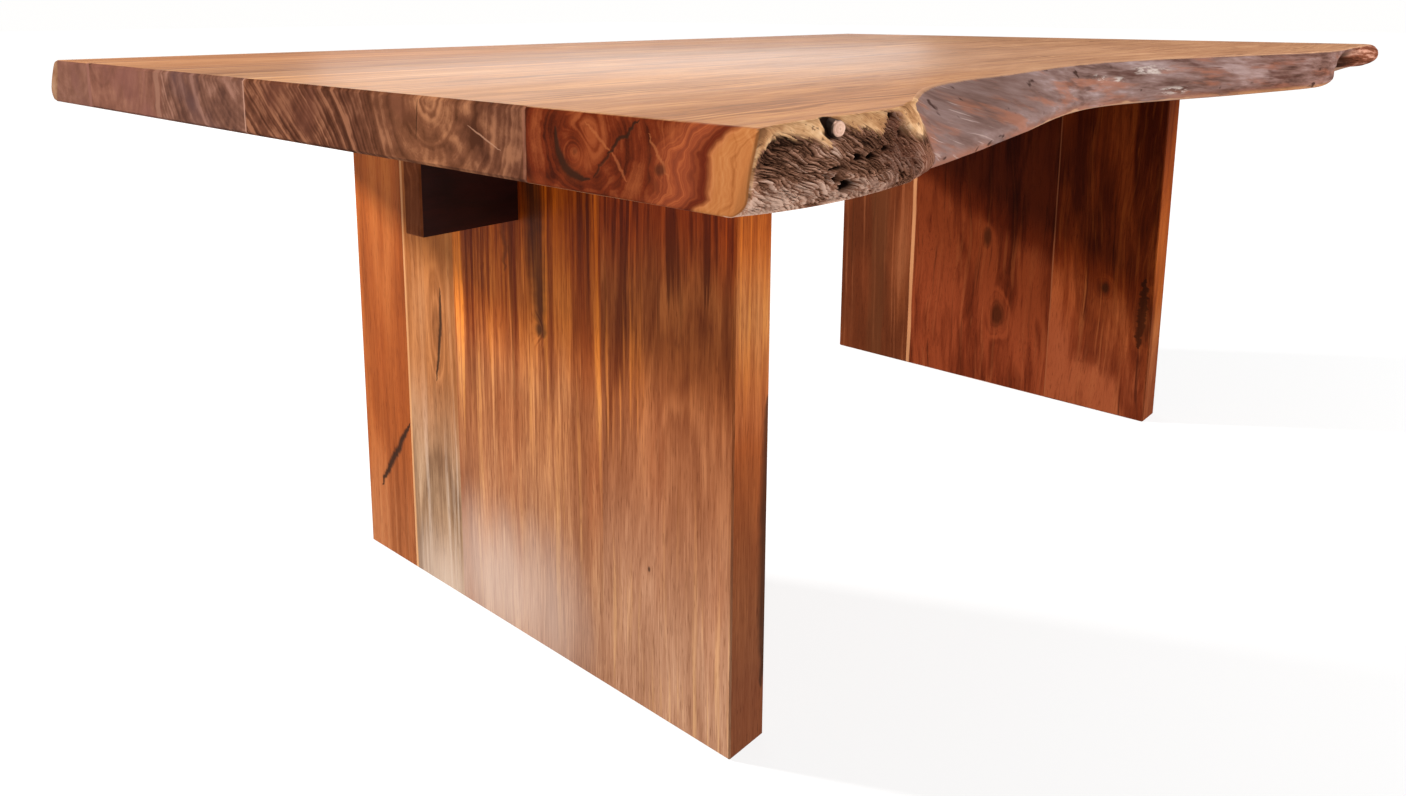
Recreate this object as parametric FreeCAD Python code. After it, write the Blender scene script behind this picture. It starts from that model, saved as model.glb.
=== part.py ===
import FreeCAD, Part
import math
import os

os.makedirs("parts", exist_ok=True)

# Live edge dining table: a glued slab top on two panel legs, tied by one board on edge.
# Millimetres, X along the table, the scooped live edge faces -Y, floor at Z zero.

# Whole table
table_height = 762.0
top_length = 2020.0
top_width = 1290.0
top_thickness = 59.0
end_overhang = 313.0

# Panel legs
leg_width = 732.0
leg_thickness = 62.0

# Board on edge under the top
beam_thickness = 34.0
beam_height = 130.0
beam_projection = 142.0

# Eased corners and fits
arris_ease = 3.0
leg_ease = 2.0
fit_clearance = 0.3
cut_overrun = 5.0

# Hidden dowels
top_dowel_diameter = 14.0
top_dowel_length = 70.0
leg_dowel_diameter = 12.0
leg_dowel_length = 80.0

# Steel angles
bracket_flange = 40.0
bracket_steel = 4.0
bracket_length = 220.0

# Bolts, washers, inserts and screws
bolt_diameter = 8.0
bolt_head_flats = 13.0
head_sides = 6
bolt_head_height = 5.3
washer_diameter = 17.0
washer_thickness = 1.6
insert_diameter = 12.0
insert_length = 20.0
slot_travel = 8.0
beam_bolt_seat = 45.0
counterbore_room = 2.0
screw_diameter = 6.0
screw_length = 40.0
screw_head_diameter = 12.0
screw_head_height = 4.0

# Glue lines, as shares of the width counted from the front edge
top_seam_shares = (0.18, 0.533, 0.698, 0.874)
left_leg_seam_shares = (0.275, 0.67, 0.833)
right_leg_seam_shares = (0.28, 0.744)

# Height of the fullest line of the live edges, as a share of the slab thickness
belly_height_share = 0.3
# How far the underside corner draws back from that line, as a share of the slab thickness
underside_round_share = 0.12
# Deepest point of the front scoop, as a share of the front board's width
scoop_depth_share = 0.67
# Back edge slope, as a share of the slab thickness
back_slope_share = 0.475

# Front live edge: share of the length, top inset and belly inset as shares of the scoop depth
front_edge_shares = (
    (0.0, 0.05, 0.13),
    (0.03, 0.09, 0.02),
    (0.06, 0.08, 0.0),
    (0.12, 0.2, 0.08),
    (0.16, 0.45, 0.18),
    (0.22, 0.74, 0.36),
    (0.3, 0.87, 0.59),
    (0.4, 0.99, 0.84),
    (0.46, 1.0, 0.87),
    (0.52, 0.88, 0.72),
    (0.6, 0.63, 0.43),
    (0.68, 0.33, 0.19),
    (0.76, 0.06, 0.01),
    (0.82, 0.0, 0.08),
    (0.89, 0.01, 0.21),
    (0.95, 0.03, 0.04),
    (1.0, 0.04, 0.05),
)

# Back live edge: share of the length, top inset and belly inset as shares of the back slope
back_edge_shares = (
    (0.0, 1.0, 0.1),
    (0.15, 0.92, 0.0),
    (0.35, 1.05, 0.12),
    (0.55, 0.95, 0.02),
    (0.75, 1.08, 0.1),
    (0.9, 0.96, 0.0),
    (1.0, 1.0, 0.08),
)

# Where the dowels and bolts sit
top_dowel_length_shares = (-0.44, -0.25, -0.085, 0.085, 0.25, 0.44)
leg_dowel_height_shares = (0.1, 0.34, 0.58, 0.8)
beam_bolt_length_shares = (-0.17, 0.0, 0.17)
bracket_hole_shares = (-0.36, 0.0, 0.36)
bracket_hole_out_share = 0.55
bolt_reach_share = 0.8

# Derived sizes
underside = table_height - top_thickness
half_length = top_length / 2
half_width = top_width / 2
leg_outer = half_length - end_overhang
leg_inner = leg_outer - leg_thickness
beam_half = leg_outer + beam_projection
scoop_depth = scoop_depth_share * top_seam_shares[0] * top_width
back_slope = back_slope_share * top_thickness
underside_round = underside_round_share * top_thickness
bracket_centre = (leg_width / 2 + beam_thickness / 2) / 2
bolt_hole_radius = bolt_diameter / 2 + fit_clearance
insert_hole_radius = insert_diameter / 2 + fit_clearance
bolt_reach = bolt_reach_share * insert_length
counterbore_radius = washer_diameter / 2 + counterbore_room
bracket_hole_out = bracket_hole_out_share * bracket_flange

up = FreeCAD.Vector(0, 0, 1)
along = FreeCAD.Vector(1, 0, 0)
across = FreeCAD.Vector(0, 1, 0)


def block(low, high):
    low = FreeCAD.Vector(*low)
    size = FreeCAD.Vector(*high) - low
    return Part.makeBox(size.x, size.y, size.z, low)


def rod(radius, length, start, direction):
    return Part.makeCylinder(radius, length, FreeCAD.Vector(*start), direction)


def save(name, shapes):
    shape = shapes[0] if len(shapes) == 1 else Part.makeCompound(shapes)
    shape.exportStep("parts/" + name + ".step")


def curve_edge(points):
    curve = Part.BSplineCurve()
    curve.interpolate(points)
    return curve.toShape()


# Top slab, from three outlines one above the other
def slab_outline(height, column, draw_back):
    front = []
    for row in front_edge_shares:
        inset = row[column] * scoop_depth + draw_back
        front.append(FreeCAD.Vector(row[0] * top_length - half_length, inset - half_width, height))
    back = []
    for row in back_edge_shares:
        inset = row[column] * back_slope + draw_back
        back.append(FreeCAD.Vector(row[0] * top_length - half_length, half_width - inset, height))
    edges = [
        curve_edge(front),
        Part.makeLine(front[-1], back[-1]),
        curve_edge(back[::-1]),
        Part.makeLine(back[0], front[0]),
    ]
    return Part.Wire(edges)


def end_ease(side, height, inward):
    # A three-cornered bar that takes the sharp corner off one end edge
    start_y = -half_width - cut_overrun
    outer_x = side * (half_length + cut_overrun)
    eased_z = height + inward * arris_ease
    corners = [
        FreeCAD.Vector(outer_x, start_y, height - inward * cut_overrun),
        FreeCAD.Vector(side * (half_length - arris_ease), start_y, height - inward * cut_overrun),
        FreeCAD.Vector(side * (half_length - arris_ease), start_y, height),
        FreeCAD.Vector(side * half_length, start_y, eased_z),
        FreeCAD.Vector(outer_x, start_y, eased_z),
    ]
    outline = Part.makePolygon(corners + corners[:1])
    return Part.Face(outline).extrude(across * (top_width + 2 * cut_overrun))


slab = Part.makeLoft(
    [
        slab_outline(underside, 2, underside_round),
        slab_outline(underside + belly_height_share * top_thickness, 2, 0),
        slab_outline(table_height, 1, 0),
    ],
    True,
    True,
)
end_tools = []
for side in (-1, 1):
    end_tools.append(end_ease(side, underside, 1))
    end_tools.append(end_ease(side, table_height, -1))
slab = slab.cut(end_tools)

# Dowels across the glue lines of the top
top_seams = [share * top_width - half_width for share in top_seam_shares]
top_dowels = []
top_dowel_holes = []
for seam in top_seams:
    for share in top_dowel_length_shares:
        start = (share * top_length, seam - top_dowel_length / 2, underside + top_thickness / 2)
        top_dowels.append(rod(top_dowel_diameter / 2, top_dowel_length, start, across))
        top_dowel_holes.append(rod(top_dowel_diameter / 2 + fit_clearance, top_dowel_length, start, across))

# Places of the bolts: under each angle and along the beam
bracket_bolt_places = []
screw_places = []
for side in (-1, 1):
    for flank in (-1, 1):
        for share in bracket_hole_shares:
            y = flank * bracket_centre + share * bracket_length
            bracket_bolt_places.append((side * (leg_inner - bracket_hole_out), y))
            screw_places.append((side, y))
beam_bolt_places = [(share * top_length, 0) for share in beam_bolt_length_shares]

insert_holes = []
thread_inserts = []
for x, y in bracket_bolt_places + beam_bolt_places:
    start = (x, y, underside)
    insert_holes.append(rod(insert_hole_radius, insert_length, start, up))
    sleeve = rod(insert_diameter / 2, insert_length, start, up)
    thread_inserts.append(sleeve.cut(rod(bolt_hole_radius, insert_length, start, up)))

slab = slab.cut(top_dowel_holes + insert_holes)

top_names = ["top_front_board", "top_heart_board", "top_inner_board", "top_outer_board", "top_back_board"]
lower_limits = [-half_width - cut_overrun] + top_seams
upper_limits = top_seams + [half_width + cut_overrun]
for name, low, high in zip(top_names, lower_limits, upper_limits):
    slice_box = block(
        (-half_length - cut_overrun, low, underside - cut_overrun),
        (half_length + cut_overrun, high, table_height + cut_overrun),
    )
    save(name, [slab.common(slice_box)])

save("top_dowels", top_dowels)
save("thread_inserts", thread_inserts)

# Panel legs: one eased panel, notched and drilled, then parted into staves
leg_dowels = []


def panel_leg(side, names, seam_shares):
    low_x = min(side * leg_inner, side * leg_outer)
    high_x = max(side * leg_inner, side * leg_outer)
    half = leg_width / 2
    panel = block((low_x, -half, 0), (high_x, half, underside))
    eased = []
    for edge in panel.Edges:
        box = edge.BoundBox
        if box.ZMax < underside / 2 or box.ZLength > underside / 2:
            eased.append(edge)
    panel = panel.makeChamfer(leg_ease, eased)
    notch_half = beam_thickness / 2 + fit_clearance
    tools = [
        block(
            (low_x - cut_overrun, -notch_half, underside - beam_height),
            (high_x + cut_overrun, notch_half, underside + cut_overrun),
        )
    ]
    for screw_side, y in screw_places:
        if screw_side == side:
            start = (side * leg_inner, y, underside - bracket_hole_out)
            depth = screw_length - bracket_steel + fit_clearance
            tools.append(rod(screw_diameter / 2 + fit_clearance, depth, start, along * side))
    seams = [share * leg_width - half for share in seam_shares]
    for seam in seams:
        for share in leg_dowel_height_shares:
            start = ((low_x + high_x) / 2, seam - leg_dowel_length / 2, share * underside)
            leg_dowels.append(rod(leg_dowel_diameter / 2, leg_dowel_length, start, across))
            tools.append(rod(leg_dowel_diameter / 2 + fit_clearance, leg_dowel_length, start, across))
    panel = panel.cut(tools)
    for name, low, high in zip(names, [-half] + seams, seams + [half]):
        slice_box = block(
            (low_x - cut_overrun, low, -cut_overrun),
            (high_x + cut_overrun, high, underside + cut_overrun),
        )
        save(name, [panel.common(slice_box)])


panel_leg(
    -1,
    ["left_leg_front_stave", "left_leg_wide_stave", "left_leg_pale_stave", "left_leg_back_stave"],
    left_leg_seam_shares,
)
panel_leg(
    1,
    ["right_leg_front_stave", "right_leg_middle_stave", "right_leg_back_stave"],
    right_leg_seam_shares,
)
save("leg_dowels", leg_dowels)

# Beam on edge, bolted up into the top from counterbores in its lower face
beam = block(
    (-beam_half, -beam_thickness / 2, underside - beam_height),
    (beam_half, beam_thickness / 2, underside),
)
end_edges = []
for edge in beam.Edges:
    box = edge.BoundBox
    if box.XLength < leg_ease and box.ZMin < underside - leg_ease:
        end_edges.append(edge)
beam = beam.makeChamfer(leg_ease, end_edges)
beam_tools = []
for x, y in beam_bolt_places:
    bore_low = underside - beam_height - cut_overrun
    bore_depth = beam_height - beam_bolt_seat + cut_overrun
    beam_tools.append(rod(counterbore_radius, bore_depth, (x, y, bore_low), up))
    seat_low = underside - beam_bolt_seat
    beam_tools.append(rod(bolt_hole_radius, beam_bolt_seat + cut_overrun, (x, y, seat_low), up))
beam = beam.cut(beam_tools)
save("beam", [beam])


# Bolts and washers
def hex_head(x, y, top_height):
    radius = bolt_head_flats / 2 / math.cos(math.pi / head_sides)
    low = top_height - bolt_head_height
    corners = []
    for turn in range(head_sides):
        angle = turn * 2 * math.pi / head_sides
        corners.append(FreeCAD.Vector(x + radius * math.cos(angle), y + radius * math.sin(angle), low))
    return Part.Face(Part.makePolygon(corners + corners[:1])).extrude(up * bolt_head_height)


def washer(x, y, low):
    ring = rod(washer_diameter / 2, washer_thickness, (x, y, low), up)
    return ring.cut(rod(bolt_hole_radius, washer_thickness, (x, y, low), up))


def bolt(x, y, seat):
    head_top = seat - washer_thickness
    shank = rod(bolt_diameter / 2, underside + bolt_reach - head_top, (x, y, head_top), up)
    return hex_head(x, y, head_top).fuse(shank)


bracket_seat = underside - bracket_steel
beam_seat = underside - beam_bolt_seat
bolt_washers = [washer(x, y, bracket_seat - washer_thickness) for x, y in bracket_bolt_places]
bolt_washers += [washer(x, y, beam_seat - washer_thickness) for x, y in beam_bolt_places]
save("bracket_bolts", [bolt(x, y, bracket_seat) for x, y in bracket_bolt_places])
save("beam_bolts", [bolt(x, y, beam_seat) for x, y in beam_bolt_places])
save("bolt_washers", bolt_washers)


# Screws from the angles into the legs
def screw(side, y):
    height = underside - bracket_hole_out
    seat_x = side * (leg_inner - bracket_steel)
    shank = rod(screw_diameter / 2, screw_length, (seat_x, y, height), along * side)
    head = rod(screw_head_diameter / 2, screw_head_height, (seat_x, y, height), along * -side)
    return shank.fuse(head)


save("leg_screws", [screw(side, y) for side, y in screw_places])


# Steel angles: bent strip with slots for the bolts, so the top can shrink and swell
def slot_tool(x, y):
    low = underside - bracket_steel - cut_overrun
    depth = bracket_steel + 2 * cut_overrun
    ends = [rod(bolt_hole_radius, depth, (x, y + flank * slot_travel / 2, low), up) for flank in (-1, 1)]
    middle = block(
        (x - bolt_hole_radius, y - slot_travel / 2, low),
        (x + bolt_hole_radius, y + slot_travel / 2, low + depth),
    )
    return ends + [middle]


def angle_bracket(side, flank):
    centre = flank * bracket_centre
    low_y = centre - bracket_length / 2
    inner = side * leg_inner
    profile = [(0, 0), (bracket_flange, 0), (bracket_flange, bracket_steel), (bracket_steel, bracket_steel)]
    profile += [(bracket_steel, bracket_flange), (0, bracket_flange)]
    points = [FreeCAD.Vector(inner - side * out, low_y, underside - down) for out, down in profile]
    strip = Part.Face(Part.makePolygon(points + points[:1])).extrude(across * bracket_length)
    corner_x = inner - side * bracket_steel
    bend = []
    for edge in strip.Edges:
        middle = edge.CenterOfMass
        at_corner = abs(middle.x - corner_x) < fit_clearance
        if at_corner and abs(middle.z - underside + bracket_steel) < fit_clearance:
            bend.append(edge)
    strip = strip.makeFillet(bracket_steel, bend)
    tools = []
    for share in bracket_hole_shares:
        y = centre + share * bracket_length
        tools += slot_tool(side * (leg_inner - bracket_hole_out), y)
        start = (inner + side * cut_overrun, y, underside - bracket_hole_out)
        reach = bracket_steel + 2 * cut_overrun
        tools.append(rod(screw_diameter / 2 + fit_clearance, reach, start, along * -side))
    return strip.cut(tools)


for side, side_name in ((-1, "left"), (1, "right")):
    for flank, flank_name in ((-1, "front"), (1, "back")):
        save("bracket_" + side_name + "_" + flank_name, [angle_bracket(side, flank)])
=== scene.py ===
import bpy
import math
import numpy as np
from functools import reduce
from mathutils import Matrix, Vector, noise
from mathutils.bvhtree import BVHTree


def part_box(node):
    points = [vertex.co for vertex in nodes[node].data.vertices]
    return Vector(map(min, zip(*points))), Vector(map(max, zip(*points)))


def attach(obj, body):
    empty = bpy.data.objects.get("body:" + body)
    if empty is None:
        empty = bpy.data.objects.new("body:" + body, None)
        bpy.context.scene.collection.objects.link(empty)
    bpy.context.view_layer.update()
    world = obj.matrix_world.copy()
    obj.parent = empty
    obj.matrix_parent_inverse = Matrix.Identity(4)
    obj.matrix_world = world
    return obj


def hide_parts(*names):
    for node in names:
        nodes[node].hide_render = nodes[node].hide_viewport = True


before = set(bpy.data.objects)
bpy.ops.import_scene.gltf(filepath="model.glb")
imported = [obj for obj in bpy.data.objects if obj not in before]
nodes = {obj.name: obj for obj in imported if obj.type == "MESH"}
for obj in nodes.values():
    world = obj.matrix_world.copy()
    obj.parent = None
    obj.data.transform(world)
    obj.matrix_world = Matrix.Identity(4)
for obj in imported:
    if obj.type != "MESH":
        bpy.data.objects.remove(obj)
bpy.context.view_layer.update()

scene = bpy.context.scene
print("table: frame loaded,", len(nodes), "nodes")


class Flow:
    # one socket of a node tree; sums on it add Math nodes
    def __init__(self, tree, socket=None):
        self.tree = tree
        self.socket = socket

    def plug(self, slot, value):
        if isinstance(value, Flow):
            self.tree.links.new(value.socket, slot)
        else:
            slot.default_value = value

    def add(self, kind, settings, sockets, take=0):
        # one node: its settings first, then the values or links of its sockets
        node = self.tree.nodes.new(kind)
        for key, value in settings.items():
            if key == "stops":
                ramp = node.color_ramp
                while len(ramp.elements) < len(value):
                    ramp.elements.new(1.0)
                for element, (place, colour) in zip(ramp.elements, value):
                    element.position = place
                    element.color = (*colour, 1.0)
            else:
                setattr(node, key, value)
        for key, value in sockets.items():
            self.plug(node.inputs[key], value)
        return Flow(self.tree, node.outputs[take])

    def sums(self, operation, first, second=0.0):
        return self.add("ShaderNodeMath", {"operation": operation}, {0: first, 1: second})

    def __add__(self, other):
        return self.sums("ADD", self, other)

    __radd__ = __add__

    def __sub__(self, other):
        return self.sums("SUBTRACT", self, other)

    def __rsub__(self, other):
        return self.sums("SUBTRACT", other, self)

    def __mul__(self, other):
        return self.sums("MULTIPLY", self, other)

    __rmul__ = __mul__

    def __truediv__(self, other):
        return self.sums("DIVIDE", self, other)

    def __rtruediv__(self, other):
        return self.sums("DIVIDE", other, self)

    def __pow__(self, other):
        return self.sums("POWER", self, other)

    def __rpow__(self, other):
        return self.sums("POWER", other, self)

    def __abs__(self):
        return self.sums("ABSOLUTE", self)

    def most(self, other):
        return self.sums("MAXIMUM", self, other)

    def least(self, other):
        return self.sums("MINIMUM", self, other)

    def swing(self, weight):
        # noise about its middle value
        return (self - 0.5) * weight

    def ease(self, low, high):
        # 0 below low, 1 above high, smooth between
        sockets = {0: self, 1: low, 2: high, 3: 0.0, 4: 1.0}
        return self.add("ShaderNodeMapRange", {"interpolation_type": "SMOOTHSTEP"}, sockets)

    def vector(self, operation, other, take=0):
        return self.add("ShaderNodeVectorMath", {"operation": operation}, {0: self, 1: other}, take)

    def grow(self, scale):
        return self.vector("MULTIPLY", scale)

    def length(self):
        return self.vector("LENGTH", (0, 0, 0), 1)

    def parts(self):
        node = self.tree.nodes.new("ShaderNodeSeparateXYZ")
        self.plug(node.inputs[0], self)
        return [Flow(self.tree, output) for output in node.outputs]

    def join(self, x, y, z):
        return self.add("ShaderNodeCombineXYZ", {}, {0: x, 1: y, 2: z})

    def cloud(self, detail, roughness=0.55, take=0):
        # noise over a vector: its value, or its colour where take is 1
        sockets = {"Vector": self, "Scale": 1.0, "Detail": detail, "Roughness": roughness}
        return self.add("ShaderNodeTexNoise", {}, sockets, take)

    def bands(self, scale, detail, roughness=0.6):
        # noise along one value
        sockets = {"W": self, "Scale": scale, "Detail": detail, "Roughness": roughness}
        return self.add("ShaderNodeTexNoise", {"noise_dimensions": "1D"}, sockets)

    def ramp(self, stops):
        return self.add("ShaderNodeValToRGB", {"stops": stops}, {0: self})

    def blend(self, other, share, mode="MIX"):
        # colour mix: self where share is 0, other where it is 1
        if not isinstance(other, Flow):
            other = (*other, 1.0)
        settings = {"data_type": "RGBA", "blend_type": mode}
        return self.add("ShaderNodeMix", settings, {0: share, 6: self, 7: other}, 2)

    def tinge(self, tint, share):
        return self.blend(tint, share, "MULTIPLY")

    def layer(self, label):
        # a value kept on the mesh
        return self.add("ShaderNodeAttribute", {"attribute_name": label}, {}, "Fac")


def ovalAway(first, second, place, size):
    # distance from an oval's middle, 1 on its rim
    return first.join((first - place[0]) / size[0], (second - place[1]) / size[1], 0.0).length()


def newFinish(name):
    # an empty material, and its object coordinates
    material = bpy.data.materials.new(name)
    material.use_nodes = True
    material.node_tree.nodes.clear()
    return material, Flow(material.node_tree).add("ShaderNodeTexCoord", {}, {}, "Object")


def endFinish(shader):
    output = shader.tree.nodes.new("ShaderNodeOutputMaterial")
    shader.plug(output.inputs[0], shader)


matteCoat = {"Roughness": 0.9, "Specular IOR Level": 0.0}


def closeFinish(flow, colour, rough, shine, bump=None, extra=None):
    # a satin and a matte coat of the same colour, mixed by the share of shine
    common = {"Base Color": colour, **(extra or {})}
    if bump:
        height, strength, depth = bump
        sockets = {"Height": height, "Strength": strength, "Distance": depth}
        common["Normal"] = flow.add("ShaderNodeBump", {}, sockets)
    satin = flow.add("ShaderNodeBsdfPrincipled", {}, {**common, "Roughness": rough})
    matte = flow.add("ShaderNodeBsdfPrincipled", {}, {**common, **matteCoat})
    endFinish(flow.add("ShaderNodeMixShader", {}, {0: shine, 1: matte, 2: satin}))


def wear(nodeNames, finish):
    for nodeName in nodeNames:
        materials = nodes[nodeName].data.materials
        materials.clear()
        materials.append(finish)


def addObject(name, data):
    item = bpy.data.objects.new(name, data)
    scene.collection.objects.link(item)
    return item


def softShade(mesh, sharpAngle):
    mesh.polygons.foreach_set("use_smooth", [True] * len(mesh.polygons))
    mesh.set_sharp_from_angle(angle=math.radians(sharpAngle))


# view of the photograph: standing near one end corner, just above the top
viewSpot = {
    "place": (-1.5157, -1.0226, 0.8353), "yaw": 47.1644, "pitch": 10.1364, "lens": 26.7999,
    "sensor": 36.0, "shift": (0.0287, -0.145),
}


def makeCamera(spec):
    data = bpy.data.cameras.new("viewCamera")
    data.lens = spec["lens"]
    data.sensor_width = spec["sensor"]
    data.shift_x, data.shift_y = spec["shift"]
    camera = addObject("viewCamera", data)
    camera.location = spec["place"]
    camera.rotation_euler = (math.radians(90 - spec["pitch"]), 0, math.radians(-spec["yaw"]))
    scene.camera = camera


studio = {
    "skyTone": (1.0, 0.995, 0.985, 1.0), "horizon": 1.0, "overhead": 0.25, "skyFade": (0.03, 0.25),
    "floorSize": 80.0, "floorTone": (0.20, 0.20, 0.20, 1.0), "floorRough": 0.8, "nearGlow": 0.80,
    "farGlow": 0.98, "glowFade": (1.2, 5.0),
    "lights": {
        # name: place, aim, width, height, power, shows in gloss
        "keyBox": ((-3.64, 5.72, 3.15), (-0.2, 0.0, 0.45), 0.7, 0.7, 1400.0, False),
        "lowBox": ((-1.9, 1.9, 0.40), (-0.7, 0.2, 0.45), 0.8, 0.7, 7.0, False),
        "topBox": ((-0.5, 0.5, 3.0), (-0.2, 0.0, 0.76), 2.6, 2.6, 18.0, True),
        "frontBox": ((0.9, -2.5, 1.8), (-0.2, -0.5, 0.72), 2.2, 1.2, 70.0, False),
        "sheenBox": ((2.4, 2.85, 1.25), (-0.2, 0.0, 0.76), 3.2, 1.2, 41.0, True),
    },
}


def makeStudio(spec):
    world = bpy.data.worlds.new("paleRoom")
    world.use_nodes = True
    scene.world = world
    # white at the horizon, softer overhead
    sky = Flow(world.node_tree)
    background = world.node_tree.nodes["Background"]
    up = sky.add("ShaderNodeTexCoord", {}, {}, "Generated").parts()[2]
    glow = spec["horizon"] + up.ease(*spec["skyFade"]) * (spec["overhead"] - spec["horizon"])
    sky.plug(background.inputs[1], glow)
    background.inputs[0].default_value = spec["skyTone"]
    for name, (place, aim, width, height, power, inGloss) in spec["lights"].items():
        data = bpy.data.lights.new(name, "AREA")
        data.shape = "RECTANGLE"
        data.size = width
        data.size_y = height
        data.energy = power
        light = addObject(name, data)
        light.location = place
        light.rotation_euler = (Vector(aim) - Vector(place)).to_track_quat("-Z", "Y").to_euler()
        light.visible_camera = False
        light.visible_glossy = inGloss
    half = spec["floorSize"] / 2
    mesh = bpy.data.meshes.new("studioFloor")
    corners = [(-half, -half, 0), (half, -half, 0), (half, half, 0), (-half, half, 0)]
    mesh.from_pydata(corners, [], [(0, 1, 2, 3)])
    floor = addObject("studioFloor", mesh)
    # the floor whitens away from the table
    material, spot = newFinish("paleFloor")
    glow = spec["nearGlow"] + spot.length().ease(*spec["glowFade"]) * (spec["farGlow"] - spec["nearGlow"])
    extra = {"Emission Color": spot.join(glow, glow, glow), "Emission Strength": 1.0}
    closeFinish(spot, spec["floorTone"], spec["floorRough"], 0.0, None, extra)
    mesh.materials.append(material)
    scene.view_settings.view_transform = "Standard"


makeCamera(viewSpot)
makeStudio(studio)
print("table: camera and studio set")


# waves of each figure in a metre, along and across the grain
grainWaves = {
    "bend": (1.1, 5.0, 5.0), "ripple": (5.0, 45.0, 45.0), "swirl": (3.4, 9.0, 9.0),
    "wave": (2.4, 7.0, 7.0), "streak": (2.6, 75.0, 75.0), "fibre": (14.0, 520.0, 520.0),
    "mottle": (2.4, 11.0, 11.0), "hue": (2.3, 14.0, 14.0), "gleam": (1.6, 120.0, 120.0),
    "vein": (1.4, 95.0, 95.0), "pores": (45.0, 1000.0, 1000.0),
}
ringRates = {"broad": 0.4, "lines": 1.6, "end": 0.85}  # shares of a board's own ring count
poreTint = (0.55, 0.46, 0.40)
endShine = 0.04
grainBump = (0.22, 0.0006)


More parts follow.
